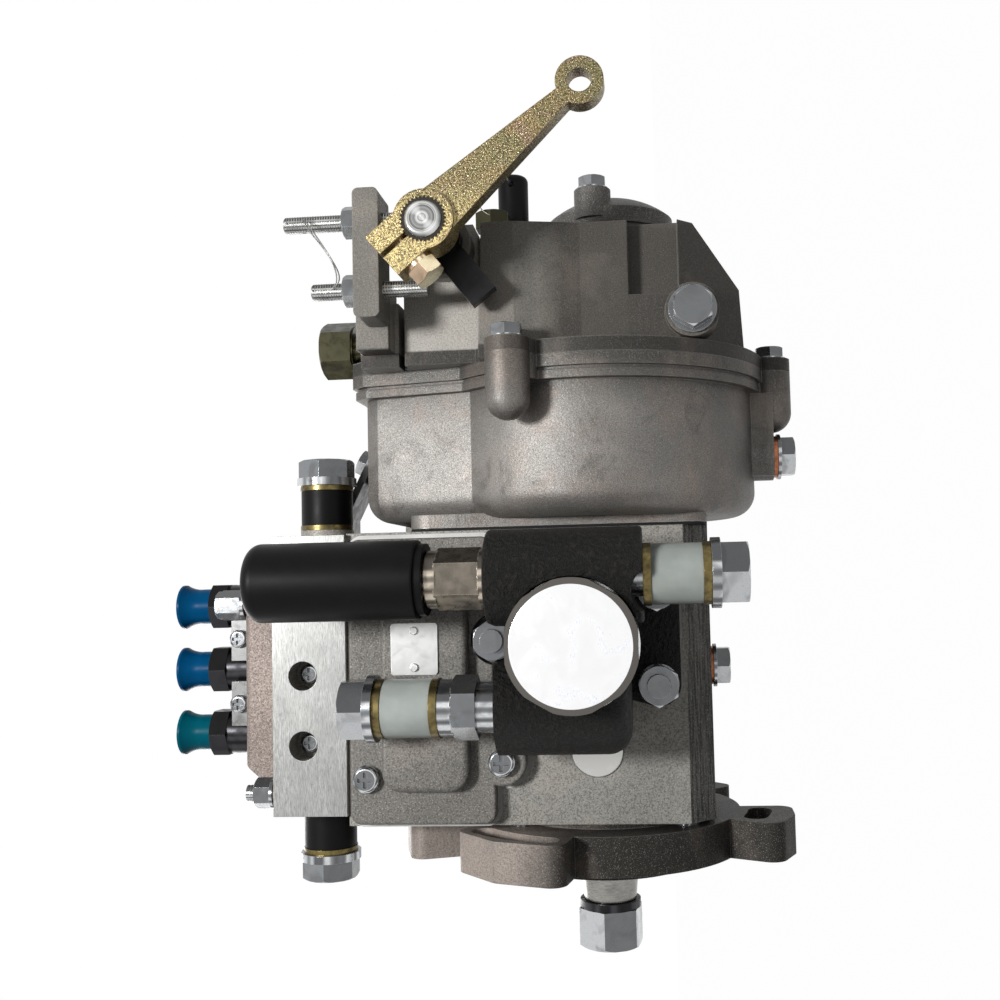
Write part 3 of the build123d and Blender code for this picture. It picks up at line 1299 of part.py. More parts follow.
def clamp_bolt():
    across_dir = (math.sin(math.radians(lever_angle)), 0, -math.cos(math.radians(lever_angle)))
    x, z = in_lever(-clamp_bolt_at, -clamp_width / 2)
    mid_y = lever_front_y + lever_thickness / 2 + 1
    bolt = ring(clamp_washer_r, clamp_bolt_r, 1.5) + Pos(0, 0, 1.5) * hexagon(10, 5.0)
    bolt += Pos(0, 0, -clamp_width) * peg(clamp_bolt_r, clamp_width + 3)
    return towards(x, mid_y, z, across_dir) * bolt


def throttle_shaft():
    shaft = rod_y(shaft_r, lever_front_y - 1.5, -24, shaft_x, shaft_z)
    return chamfer(shaft.edges().group_by(Axis.Y)[0], 1.0)


def stop_arm():
    """Two-armed stop on the shaft: the short arm rests at the upper screw, the long one swings to the lower."""
    y0 = stop_y - stop_arm_thickness / 2
    y1 = y0 + stop_arm_thickness
    arm = rod_y(stop_hub_r, y0, y1, shaft_x, shaft_z)
    lower = Pos(-lower_arm_length / 2, 0, 0) * Box(lower_arm_length, stop_arm_thickness, 2 * lower_arm_half)
    upper = Pos(upper_arm_length / 2, 0, 0) * Box(upper_arm_length, stop_arm_thickness, 2 * upper_arm_half)
    centre = Pos(shaft_x, stop_y, shaft_z)
    arm += centre * Rot(0, -lower_arm_angle, 0) * lower
    arm += centre * Rot(0, -upper_arm_angle, 0) * upper
    return arm - rod_y(shaft_r + 0.01, y0 - 1, y1 + 1, shaft_x, shaft_z)


def stop_screws():
    """Slotted screws through the ear, each ending just clear of its stop arm."""
    left = math.radians(lower_arm_angle - lever_travel)
    near_edge = shaft_x - lower_screw_x - stop_screw_r
    lower_end = shaft_z + lower_arm_half / math.cos(left) - near_edge * math.tan(left) + stop_gap
    rest = math.radians(upper_arm_angle)
    upper_end = shaft_z + upper_arm_length * math.sin(rest) + upper_arm_half * math.cos(rest) + stop_gap
    for x, z0, z1 in ((upper_screw_x, upper_end, upper_screw_z1), (lower_screw_x, lower_end, lower_screw_z1)):
        body = rod_z(stop_screw_r, z0, z1, x, stop_y)
        body = chamfer(body.edges().group_by(Axis.Z)[-1], 0.5)
        body -= Pos(x, stop_y, z1) * Box(0.9, 9, 4)
        yield body - rod_x(0.6, x - 5, x + 5, stop_y, z1 - 7)


# Governor mechanism

def flyweight_carrier():
    disc = rod_x(carrier_r, carrier_x0, carrier_x0 + carrier_thickness) - rod_x(journal_r + 0.01, carrier_x0 - 1, 150)
    for side in (-1, 1):
        for y in (-weight_width / 2 - 4.3, weight_width / 2 + 0.3):
            lug = block(carrier_x0, weight_pivot_x + 4, y, y + 4, 11, weight_pivot_r + 4)
            disc += Rot(0 if side > 0 else 180, 0, 0) * lug
        disc += Rot(0 if side > 0 else 180, 0, 0) * rod_y(2.5, -weight_width / 2 - 4, weight_width / 2 + 4,
                                                         weight_pivot_x, weight_pivot_r)
    return disc - rod_x(journal_r + 0.01, carrier_x0 - 1, 150)


def flyweight(side):
    """Bell-crank weight on its pin, resting inwards, with a toe against the sliding sleeve."""
    half = weight_width / 2
    eye = rod_y(5.5, -half, half, weight_pivot_x, weight_pivot_r)
    toe = block(weight_pivot_x - 2.5, weight_pivot_x + 2.5, -half, half, weight_toe_r, weight_pivot_r)
    toe += rod_y(2.5, -half, half, weight_pivot_x + 2.5, weight_toe_r + 2.5)
    toe += block(weight_pivot_x, weight_pivot_x + 5, -half, half, weight_toe_r, weight_toe_r + 5)
    end = weight_pivot_x + weight_length
    mass = block(weight_pivot_x, end, -half, half, weight_pivot_r - 3, weight_pivot_r + 5)
    mass += block(weight_pivot_x + 12, end, -half, half, weight_pivot_r - 4, weight_pivot_r + 16)
    piece = eye + toe + mass
    piece -= rod_y(2.5 + running, -half - 1, half + 1, weight_pivot_x, weight_pivot_r)
    return piece if side > 0 else Rot(180, 0, 0) * piece


def governor_sleeve():
    x0 = governor_sleeve_x0
    body = rod_x(9.5, x0, x0 + governor_sleeve_length) + rod_x(13.5, x0, x0 + 3)
    return body - rod_x(sleeve_bore_r, x0 - 1, x0 + governor_sleeve_length + 1)


def governor_lever():
    """Lever between the sliding sleeve and the rack, hung on a cross pin."""
    roller_x = governor_sleeve_x0 + governor_sleeve_length + face_gap + governor_lever_roller_r
    bar = block(governor_pivot_x - 1.2, governor_pivot_x + 3, 3, 10, 0, governor_pivot_z)
    bar += rod_y(governor_lever_roller_r, -9.5, 10, roller_x, 0)
    bar += rod_y(5.5, 3, 10, governor_pivot_x, governor_pivot_z)
    pin_x = rack_x1 - rack_pin_from_end
    bar += profile([(governor_pivot_x - 4.5, governor_pivot_z), (governor_pivot_x + 3, governor_pivot_z),
                    (pin_x + 3.2, rack_pin_z), (pin_x - 3.2, rack_pin_z)], 10, 5)
    bar += rod_y(3.2, 5, 10, pin_x, rack_pin_z) + rod_y(rack_pin_r, 5, rack_back_y, pin_x, rack_pin_z)
    return bar - rod_y(2.5 + running, 0, 20, governor_pivot_x, governor_pivot_z)


def governor_pin():
    """Cross pin of the governor lever, held in the bowl's walls."""
    return rod_y(2.5, -governor_pin_half, governor_pin_half, governor_pivot_x, governor_pivot_z)


def main():
    os.makedirs("parts", exist_ok=True)
    save("pump_housing", pump_housing())
    save("mounting_flange", mounting_flange())
    save("camshaft_bearings", bearing_outer_rings())
    save("shaft_seal", shaft_seal())
    save("camshaft", camshaft())
    save("spring_washer", spring_washer())
    save("drive_nut", drive_nut())
    for number, x in enumerate(cylinder_x, 1):
        save(f"plunger_{number}", plunger_unit(x))
        save(f"plunger_spring_{number}", plunger_spring(x))
        save(f"control_sleeve_{number}", control_sleeve(x))
        save(f"outlet_cap_{number}", outlet_cap(x))
    save("pumping_barrels", barrels_and_valves())
    save("control_rack", control_rack())
    save("delivery_valve_holders", delivery_holders())
    save("holder_clamps", holder_clamps())
    sets = banjo_sets()
    save("sealing_washers", [piece for each in sets for piece in each[:2]] + copper_washers())
    save("black_sleeves", [each[2] for each in sets[:2]])
    save("white_sleeves", [each[2] for each in sets[2:]])
    save("banjo_bolts", [each[3] for each in sets])
    save("outlet_adapter", outlet_adapter())
    save("hex_plugs", hex_plugs())
    save("cross_head_screws", cross_head_screws())
    save("studs", studs())
    save("hex_nuts", hex_nuts())
    save("hex_bolts", hex_bolts())
    save("side_cover", side_cover())
    save("paper_gaskets", paper_gaskets())
    save("name_plate", name_plate())
    save("feed_pump_body", feed_pump_body())
    save("feed_pump_plug", feed_pump_plug())
    save("feed_piston", feed_piston())
    save("primer_barrel", primer_barrel())
    save("primer_rod", primer_rod())
    save("primer_knob", primer_knob())
    save("governor_bowl", governor_bowl())
    save("governor_gasket", governor_gaskets())
    save("governor_cover", governor_cover())
    save("governor_lid", governor_lid())
    save("strap_bracket", strap_bracket())
    save("brass_fittings", brass_fittings())
    save("full_load_cap", full_load_cap())
    save("throttle_lever", throttle_lever())
    save("clamp_bolt", clamp_bolt())
    save("throttle_shaft", throttle_shaft())
    save("stop_arm", stop_arm())
    save("stop_screws", stop_screws())
    save("flyweight_carrier", flyweight_carrier())
    save("flyweight_1", flyweight(1))
    save("flyweight_2", flyweight(-1))
    save("governor_sleeve", governor_sleeve())
    save("governor_lever", governor_lever())
    save("governor_pin", governor_pin())


main()
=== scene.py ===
import math

import bmesh
import bpy
from mathutils import Matrix, Vector


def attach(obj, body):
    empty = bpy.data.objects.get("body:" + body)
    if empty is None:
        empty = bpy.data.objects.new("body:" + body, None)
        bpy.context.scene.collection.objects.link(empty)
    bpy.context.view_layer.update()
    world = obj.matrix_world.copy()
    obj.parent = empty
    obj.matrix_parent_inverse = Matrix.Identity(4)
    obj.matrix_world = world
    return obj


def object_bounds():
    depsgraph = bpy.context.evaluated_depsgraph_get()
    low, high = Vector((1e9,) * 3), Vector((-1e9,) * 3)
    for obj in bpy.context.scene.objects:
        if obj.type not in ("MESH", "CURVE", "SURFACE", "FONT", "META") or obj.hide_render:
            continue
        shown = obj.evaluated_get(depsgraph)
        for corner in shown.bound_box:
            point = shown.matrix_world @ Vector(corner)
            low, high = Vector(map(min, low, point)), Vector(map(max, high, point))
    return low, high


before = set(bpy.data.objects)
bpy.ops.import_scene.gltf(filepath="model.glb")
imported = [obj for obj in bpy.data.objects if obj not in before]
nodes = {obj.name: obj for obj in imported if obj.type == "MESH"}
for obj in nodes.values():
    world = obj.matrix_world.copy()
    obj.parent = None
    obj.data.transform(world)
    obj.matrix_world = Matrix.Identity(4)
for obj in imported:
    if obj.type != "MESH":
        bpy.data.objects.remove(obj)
cad_box = [list(corner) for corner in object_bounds()]
MM = 0.001


# Camera, as the photograph was taken: image up is +X and image right is -Z

def make_camera():
    data = bpy.data.cameras.new("camera")
    data.sensor_width = 36.0
    data.lens = 40.73
    data.shift_x = -0.0608
    data.shift_y = 0.0104
    data.clip_start, data.clip_end = 0.01, 20.0
    camera = bpy.data.objects.new("camera", data)
    right = Vector((-0.0244, 0.0845, -0.9961)).normalized()
    forward = Vector((0.0607, 0.9947, 0.0829)).normalized()
    up = right.cross(forward).normalized()
    turn = Matrix((right, up, -forward)).transposed().to_4x4()
    camera.matrix_world = Matrix.Translation(Vector((102.54, -444.02, -21.39)) * MM) @ turn
    bpy.context.scene.collection.objects.link(camera)
    bpy.context.scene.camera = camera


# Light and floor

def area_light(name, place, aim, size, power):
    data = bpy.data.lights.new(name, "AREA")
    data.shape = "DISK"
    data.size = size
    data.energy = power
    lamp = bpy.data.objects.new(name, data)
    lamp.location = place
    lamp.rotation_euler = (Vector(aim) - Vector(place)).to_track_quat("-Z", "Y").to_euler()
    bpy.context.scene.collection.objects.link(lamp)


def seen_directly(tree):
    """1 for rays from the camera, from gloss and through glass, 0 for the rest."""
    path = tree.nodes.new("ShaderNodeLightPath")
    total = path.outputs["Is Camera Ray"]
    for name in ("Is Glossy Ray", "Is Transmission Ray"):
        largest = tree.nodes.new("ShaderNodeMath")
        largest.operation = "MAXIMUM"
        tree.links.new(total, largest.inputs[0])
        tree.links.new(path.outputs[name], largest.inputs[1])
        total = largest.outputs[0]
    return total


def make_world():
    world = bpy.data.worlds.new("studio")
    bpy.context.scene.world = world
    world.use_nodes = True
    tree = world.node_tree
    lighting = tree.nodes["Background"]
    lighting.inputs["Color"].default_value = (0.93, 0.96, 1.0, 1)
    lighting.inputs["Strength"].default_value = 0.055
    backdrop = tree.nodes.new("ShaderNodeBackground")
    backdrop.inputs["Color"].default_value = (1, 1, 1, 1)
    both = tree.nodes.new("ShaderNodeMixShader")
    tree.links.new(seen_directly(tree), both.inputs[0])
    tree.links.new(lighting.outputs[0], both.inputs[1])
    tree.links.new(backdrop.outputs[0], both.inputs[2])
    tree.links.new(both.outputs[0], tree.nodes["World Output"].inputs["Surface"])


def make_floor():
    mesh = bpy.data.meshes.new("floor")
    half, level = 6.0, cad_box[0][2] - 0.001
    corners = [(-half, -half, level), (half, -half, level), (half, half, level), (-half, half, level)]
    mesh.from_pydata(corners, [], [(0, 1, 2, 3)])
    floor = bpy.data.objects.new("floor", mesh)
    bpy.context.scene.collection.objects.link(floor)
    material = bpy.data.materials.new("floor")
    material.use_nodes = True
    tree = material.node_tree
    shader = tree.nodes["Principled BSDF"]
    shader.inputs["Base Color"].default_value = (0.12, 0.12, 0.12, 1)
    shader.inputs["Roughness"].default_value = 0.9
    glow = tree.nodes.new("ShaderNodeEmission")
    glow.inputs["Color"].default_value = (1, 1, 1, 1)
    share = tree.nodes.new("ShaderNodeMath")
    share.operation = "MULTIPLY"
    share.inputs[1].default_value = 0.985
    tree.links.new(seen_directly(tree), share.inputs[0])
    both = tree.nodes.new("ShaderNodeMixShader")
    tree.links.new(share.outputs[0], both.inputs[0])
    tree.links.new(shader.outputs[0], both.inputs[1])
    tree.links.new(glow.outputs[0], both.inputs[2])
    tree.links.new(both.outputs[0], tree.nodes["Material Output"].inputs["Surface"])
    mesh.materials.append(material)


make_camera()
make_world()
make_floor()
part_middle = (0.1, 0, 0.03)
area_light("key", place=(0.20, -0.74, 0.54), aim=part_middle, size=0.17, power=6.6)
area_light("back", place=(-0.2, 0.6, 0.5), aim=part_middle, size=0.6, power=3.0)


# Materials, laid out in the piece's own metres

class Finish:
    """One material, with the nodes that give it its detail."""

    def __init__(self, name, color, metallic, roughness):
        self.material = bpy.data.materials.new(name)
        self.material.use_nodes = True
        self.tree = self.material.node_tree
        self.shader = self.tree.nodes["Principled BSDF"]
        self.set("Base Color", (*color, 1))
        self.set("Metallic", metallic)
        self.set("Roughness", roughness)
        place = self.tree.nodes.new("ShaderNodeTexCoord")
        self.place = place.outputs["Object"]
        self.split = self.parts_of(self.place)
        self.normal = place.outputs["Normal"]
        self.facing = self.parts_of(self.normal)

    def set(self, socket, value):
        if isinstance(value, bpy.types.NodeSocket):
            self.tree.links.new(value, self.shader.inputs[socket])
        else:
            self.shader.inputs[socket].default_value = value

    def parts_of(self, vector):
        node = self.tree.nodes.new("ShaderNodeSeparateXYZ")
        self.tree.links.new(vector, node.inputs[0])
        return dict(zip("xyz", node.outputs))

    def feed(self, node, socket, value):
        if isinstance(value, bpy.types.NodeSocket):
            self.tree.links.new(value, node.inputs[socket])
        else:
            node.inputs[socket].default_value = value

    def math(self, operation, a, b=0.0, c=None):
        node = self.tree.nodes.new("ShaderNodeMath")
        node.operation = operation
        self.feed(node, 0, a)
        self.feed(node, 1, b)
        if c is not None:
            self.feed(node, 2, c)
        return node.outputs[0]

    def span(self, value, low, high, to_low=0.0, to_high=1.0):
        """Value carried from one range to another, and held at its ends."""
        node = self.tree.nodes.new("ShaderNodeMapRange")
        self.feed(node, 0, value)
        for socket, number in enumerate((low, high, to_low, to_high), 1):
            self.feed(node, socket, number)
        return node.outputs[0]

    def past(self, axis, start, end, share=1.0):
        """0 before a place on an axis and a share beyond it; the places are in millimetres."""
        return self.span(self.split[axis], start * MM, end * MM, 0.0, share)

    def both(self, first, second):
        return self.math("MULTIPLY", first, second)

    def inside(self, value, low, high, soft=0.00005):
        """1 between two values and 0 outside them, with soft borders."""
        rise = self.span(value, low - soft, low + soft)
        fall = self.span(value, high - soft, high + soft, 1.0, 0.0)
        return self.both(rise, fall)

    def within(self, axis, low, high):
        """1 between two places on an axis, in millimetres."""
        return self.inside(self.split[axis], low * MM, high * MM)

    def stretched(self, stretch, turn=(0, 0, 0)):
        node = self.tree.nodes.new("ShaderNodeMapping")
        self.tree.links.new(self.place, node.inputs["Vector"])
        node.inputs["Rotation"].default_value = turn
        node.inputs["Scale"].default_value = stretch
        return node.outputs[0]

    def noise(self, size, detail=2.0, rough=0.5, stretch=None, turn=(0, 0, 0), warp=0.0):
        """Noise whose grains are about this many millimetres across."""
        node = self.tree.nodes.new("ShaderNodeTexNoise")
        vector = self.stretched(stretch, turn) if stretch else self.place
        self.tree.links.new(vector, node.inputs["Vector"])
        node.inputs["Scale"].default_value = 1.0 / (size * MM)
        node.inputs["Detail"].default_value = detail
        node.inputs["Roughness"].default_value = rough
        node.inputs["Distortion"].default_value = warp
        return node.outputs[0]

    def by_facing(self, scale):
        """A value of its own for each direction a face looks in; plated() uses it to paint reflections, so
        flat faces differ from each other.
        """
        node = self.tree.nodes.new("ShaderNodeTexNoise")
        self.tree.links.new(self.normal, node.inputs["Vector"])
        node.inputs["Scale"].default_value = scale
        node.inputs["Detail"].default_value = 0.0
        return node.outputs[0]

    def cells(self, size):
        node = self.tree.nodes.new("ShaderNodeTexVoronoi")
        self.tree.links.new(self.place, node.inputs["Vector"])
        node.inputs["Scale"].default_value = 1.0 / (size * MM)
        return node.outputs["Distance"]

    def mix(self, share, a, b):
        node = self.tree.nodes.new("ShaderNodeMix")
        node.data_type = "RGBA"
        self.feed(node, 0, share)
        for socket, value in ((6, a), (7, b)):
            self.feed(node, socket, value if isinstance(value, bpy.types.NodeSocket) else (*value, 1))
        return node.outputs[2]

    def blend(self, share, a, b):
        node = self.tree.nodes.new("ShaderNodeMix")
        self.feed(node, 0, share)
        self.feed(node, 2, a)
        self.feed(node, 3, b)
        return node.outputs[0]

    def bump(self, height, depth, under=None):
        node = self.tree.nodes.new("ShaderNodeBump")
        node.inputs["Distance"].default_value = depth * MM
        self.feed(node, "Height", height)
        if under:
            self.tree.links.new(under, node.inputs["Normal"])
        return node.outputs[0]

    def round_edges(self, radius):
        node = self.tree.nodes.new("ShaderNodeBevel")
        node.samples = 4
        node.inputs["Radius"].default_value = radius * MM
        return node.outputs[0]

    def edges(self, radius, low=0.02, high=0.3):
        """1 near sharp edges, 0 on open faces."""
        rounded = self.round_edges(radius)
        geometry = self.tree.nodes.new("ShaderNodeNewGeometry")
        dot = self.tree.nodes.new("ShaderNodeVectorMath")
        dot.operation = "DOT_PRODUCT"
        self.tree.links.new(rounded, dot.inputs[0])
        self.tree.links.new(geometry.outputs["Normal"], dot.inputs[1])
        return self.span(self.math("SUBTRACT", 1.0, dot.outputs["Value"]), low, high)


# Places where a finish changes, in millimetres in the part's frame: one place, or a start and an end

head_z = 117.5
pad_y = -42.4
body_end_x = 120.7
body_front_x = 16.3
# below this height the slanted lower face gets cutter streaks and painted shade
streak_and_shade_z = -25.5
block_z = 38.5
ear_y = -54.0
rim_x = 185.2
cover_face_x = 180.4
bowl_rim_x = (160.0, 178.0)
# painted shade: the bowl darkens towards -Z, away from the key lamp
bowl_shaded_side_z = (0.0, -75.0)
bowl_foot_x = 122.4
# painted light: the flange is lighter towards +Z, toward the key lamp
flange_lit_side_z = (12.0, 30.0)
flange_front_x = 0.3
lever_hub_x = (232.0, 218.0)
drain_z = -38.5
drain_y = -36.0
plug_x = (32.0, 51.2)
plug_y = (-41.5, -37.0)
plug_z = (-8.5, 11.2)


def shade(color, factor):
    return tuple(channel * factor for channel in color)


def casting(name, color, grain=0.5, depth=0.12, machined=None, tinted=None, speck=0.5, dark=0.42,
            sheen=0.18, metal=0.15):
    """Cast alloy with dark pores, bright specks, soft stains and worn edges. The machined faces and
    the tints of single regions are given as functions of the finish."""
    f = Finish(name, color, metal, 0.55)
    f.set("Specular IOR Level", sheen)
    fine = f.noise(grain, 3, 0.6)
    specks = f.noise(grain * 0.6, 1, 0.5)
    broad = f.noise(30, 3, 0.6)
    pits = f.cells(grain * 2.6)
    skin = tinted(f, color) if tinted else f.mix(0.0, color, color)
    skin = f.mix(f.span(broad, 0.40, 0.62, 0.22, 0.0), skin, (0.05, 0.046, 0.04))
    skin = f.mix(f.span(broad, 0.52, 0.70, 0.0, 0.22), skin, (0.46, 0.37, 0.31))
    skin = f.mix(f.span(fine, 0.56, 0.32, 0, dark), skin, (0.02, 0.019, 0.017))
    skin = f.mix(f.span(specks, 0.60, 0.70, 0, speck), skin, (0.78, 0.76, 0.71))
    skin = f.mix(f.both(f.edges(0.6), 0.30), skin, (0.62, 0.60, 0.56))
    rough = f.span(fine, 0.3, 0.7, 0.58, 0.40)
    height = f.math("ADD", f.both(fine, 0.8), f.both(pits, 0.45))
    normal = f.bump(height, depth, f.round_edges(0.6))
    if machined:
        mask, lines = machined(f)
        tooled = f.mix(f.span(lines, 0.38, 0.62), (0.19, 0.19, 0.185), (0.40, 0.40, 0.388))
        tooled = f.mix(f.span(f.noise(14, 2, 0.5), 0.4, 0.65, 0, 0.3), tooled, (0.20, 0.20, 0.195))
        skin = f.mix(mask, skin, tooled)
        rough = f.blend(mask, rough, f.span(lines, 0.3, 0.7, 0.26, 0.42))
        flat = f.bump(lines, 0.012, f.round_edges(0.25))
        shared = f.tree.nodes.new("ShaderNodeMix")
        shared.data_type = "VECTOR"
        f.feed(shared, 0, mask)
        f.feed(shared, 4, normal)
        f.feed(shared, 5, flat)
        normal = shared.outputs[1]
        f.set("Metallic", f.blend(mask, metal, 0.75))
    f.set("Base Color", skin)
    f.set("Roughness", rough)
    f.set("Normal", normal)
    return f.material


def plated(name, color, roughness=0.24, stain=0.25, tint=(0.75, 0.85, 1.0), wear=0.4, pale=None):
    """Plated steel: cloudy colour, painted reflections that make flat faces lighter or darker by the way
    they look, fine grain and worn edges.
    """
    f = Finish(name, color, 0.75, roughness)
    cloud = f.noise(3.5, 2, 0.5, warp=0.4)
    broad = f.noise(9.0, 2, 0.5, warp=0.8)
    painted_reflection = f.by_facing(3.1)
    fine = f.noise(0.45, 2, 0.5)
    tinted = tuple(c * t for c, t in zip(color, tint))
    skin = f.mix(f.span(cloud, 0.35, 0.7, 0, stain * 1.5), color, tinted)
    # Painted reflection: flat faces darkened or lightened by the direction they look in
    skin = f.mix(f.span(painted_reflection, 0.50, 0.58, 0, 0.85), skin, shade(color, 0.25))
    skin = f.mix(f.span(painted_reflection, 0.50, 0.40, 0, 0.8), skin, shade(color, 2.6))
    skin = f.mix(f.span(broad, 0.50, 0.66, 0, 0.5), skin, shade(color, 0.4))
    skin = f.mix(f.span(fine, 0.55, 0.75, 0, stain), skin, shade(color, 0.5))
    skin = f.mix(f.both(f.edges(0.35), wear), skin, shade(color, 2.8))
    if pale:
        skin = f.mix(pale(f), skin, (0.55, 0.545, 0.525))
    f.set("Base Color", skin)
    f.set("Roughness", f.span(cloud, 0.3, 0.7, roughness * 0.8, roughness * 1.5))
    f.set("Normal", f.bump(fine, 0.015, f.round_edges(0.22)))
    return f.material


def turned_steel(name, color, axis="x", roughness=0.24):
    """Ground or turned steel with fine rings round its axis."""
    f = Finish(name, color, 0.95, roughness)
    squeeze = 14
    stretch = [squeeze if letter == axis else 1 for letter in "xyz"]
    rings = f.noise(2.4, 3, 0.6, stretch=stretch)
    smear = f.noise(6, 3, 0.5)
    skin = f.mix(f.span(rings, 0.3, 0.7), shade(color, 0.6), shade(color, 1.3))
    skin = f.mix(f.span(smear, 0.45, 0.7, 0, 0.5), skin, shade(color, 0.4))
    f.set("Base Color", skin)
    f.set("Roughness", f.span(rings, 0.3, 0.7, roughness * 0.8, roughness * 1.5))
    f.set("Normal", f.bump(rings, 0.01, f.round_edges(0.25)))
    return f.material


def shaft_end(x, z):
    """Bright steel with turning rings round an axis along Y, and a two-lobed highlight painted across them.
    """
    f = Finish("shaft_end", (0.42, 0.42, 0.41), 0.9, 0.25)
    dx = f.math("SUBTRACT", f.split["x"], x * MM)
    dz = f.math("SUBTRACT", f.split["z"], z * MM)
    radius = f.math("SQRT", f.math("ADD", f.both(dx, dx), f.both(dz, dz)))
    rings = f.tree.nodes.new("ShaderNodeTexNoise")
    rings.noise_dimensions = "1D"
    rings.inputs["Scale"].default_value = 900.0
    rings.inputs["Detail"].default_value = 2.0
    f.feed(rings, "W", radius)
    # Painted highlight: two bright lobes set by the angle round the shaft's axis
    sweep = f.math("ARCTAN2", dz, dx)
    painted_highlight = f.math("COSINE", f.both(f.math("SUBTRACT", sweep, 0.7), 2.0))
    skin = f.mix(f.span(rings.outputs[0], 0.38, 0.62), (0.16, 0.16, 0.155), (0.62, 0.62, 0.61))
    # The painted highlight lightens the rings towards near white
    skin = f.mix(f.span(painted_highlight, 0.35, 1.0, 0, 0.6), skin, (0.9, 0.9, 0.9))
    f.set("Base Color", skin)
    f.set("Roughness", f.span(rings.outputs[0], 0.3, 0.7, 0.2, 0.35))
    f.set("Normal", f.bump(rings.outputs[0], 0.02, f.round_edges(0.5)))
    return f.material


def moulded(name, color, roughness=0.38, grain=0.25, depth=0.02, dust=0.08, rim=0.35):
    """Moulded plastic or rubber with a fine skin and a little dust."""
    f = Finish(name, color, 0.0, roughness)
    f.set("Specular IOR Level", 0.10)
    skin_grain = f.noise(grain, 2, 0.5)
    broad = f.noise(9, 3, 0.55)
    skin = f.mix(f.span(broad, 0.4, 0.7, 0, 0.5), color, shade(color, 1.35))
    skin = f.mix(f.span(skin_grain, 0.62, 0.8, 0, dust), skin, (0.5, 0.5, 0.48))
    f.set("Base Color", skin)
    f.set("Roughness", f.span(broad, 0.3, 0.7, roughness * 0.85, roughness * 1.2))
    f.set("Normal", f.bump(skin_grain, depth, f.round_edges(rim)))
    return f


def black_casting():
    """Painted rough casting with lumps, fine grit and chipped edges; the lump tops are lighter, a painted
    highlight.
    """
    f = Finish("black_casting", (0.012, 0.011, 0.010), 0.0, 0.46)
    f.set("Specular IOR Level", 0.22)
    lumps = f.noise(1.9, 3, 0.6)
    fine = f.noise(0.45, 2, 0.6)
    worn = f.noise(4.5, 4, 0.65)
    skin = f.mix(f.span(fine, 0.48, 0.75, 0, 0.5), (0.0015, 0.0013, 0.001), (0.020, 0.018, 0.015))
    # Painted highlight: the tops of the lumps are lightened
    skin = f.mix(f.span(lumps, 0.52, 0.68, 0, 0.6), skin, (0.032, 0.029, 0.026))
    chips = f.both(f.edges(0.8), f.span(worn, 0.5, 0.64))
    skin = f.mix(chips, skin, (0.16, 0.14, 0.12))
    f.set("Base Color", skin)
    f.set("Roughness", f.span(lumps, 0.3, 0.7, 0.38, 0.6))
    height = f.math("ADD", lumps, f.both(fine, 0.5))
    f.set("Normal", f.bump(height, 1.5, f.round_edges(0.9)))
    return f.material


def yellow_zinc():
    """Yellow zinc plate over a rough casting: gold grains, olive film and pink stains."""
    f = Finish("yellow_zinc", (0.36, 0.26, 0.11), 0.8, 0.30)
    grains = f.noise(0.7, 3, 0.65)
    fine = f.noise(0.4, 2, 0.6)
    hub = f.past("x", *lever_hub_x)
    film = f.noise(9, 3, 0.6, warp=0.8)
    stain = f.noise(13, 3, 0.6, warp=0.5)
    gold = f.mix(f.span(film, 0.38, 0.60), (0.27, 0.195, 0.085), (0.19, 0.17, 0.075))
    gold = f.mix(f.span(stain, 0.50, 0.64, 0, 0.8), gold, (0.30, 0.185, 0.14))
    gold = f.mix(hub, gold, (0.52, 0.41, 0.18))
    gold = f.mix(f.span(grains, 0.55, 0.42, 0, 0.8), gold, (0.035, 0.026, 0.014))
    gold = f.mix(f.span(fine, 0.56, 0.64, 0, 0.85), gold, (0.88, 0.74, 0.50))
    gold = f.mix(f.both(f.edges(0.4), 0.5), gold, (0.85, 0.68, 0.42))
    f.set("Base Color", gold)
    f.set("Roughness", f.span(fine, 0.3, 0.7, 0.46, 0.28))
    height = f.math("ADD", grains, f.both(fine, 0.4))
    f.set("Normal", f.bump(height, 0.30, f.round_edges(0.8)))
    return f.material


def milled_housing(f):
    """The milled pad beside the side cover, and the sawn ends of the body."""
    toward = f.span(f.facing["y"], -0.9, -0.97)
    pad = f.both(toward, f.past("y", pad_y, pad_y - 0.3))
    ends = f.span(f.math("ABSOLUTE", f.facing["x"]), 0.9, 0.97)
    at_end = f.past("x", body_end_x, body_end_x + 0.2)
    at_front = f.past("x", body_front_x, body_front_x - 0.2)
    end_faces = f.both(ends, f.math("MAXIMUM", at_end, at_front))
    scratch = f.noise(2.2, 4, 0.75, stretch=(1.0, 1.0, 18.0), turn=(0, 0.8, 0))
    return f.math("MAXIMUM", pad, end_faces), scratch


def housing_tint(f, color):
    """Pinkish head, and dark cutter streaks on the body's slanted lower face, whose darkness is painted
    shade on a face turned from the key lamp.
    """
    head = f.mix(f.past("z", head_z, head_z + 0.5), color, (0.40, 0.325, 0.29))
    streaks = f.noise(1.0, 3, 0.7, stretch=(0.06, 1, 1))
    # Painted shade: the slanted lower face gets this dark colour, with cutter streaks in it
    dark = f.mix(f.span(streaks, 0.42, 0.58), (0.02, 0.02, 0.019), (0.22, 0.215, 0.20))
    slant = (-0.85, -0.5, 0.02)
    slanted = f.both(f.inside(f.facing["y"], *slant), f.inside(f.facing["z"], *slant))
    # Mask of the painted shade: slanted faces low on the body
    streaks_and_shade = f.both(slanted, f.past("z", streak_and_shade_z, streak_and_shade_z - 1.0))
    return f.mix(streaks_and_shade, head, dark)


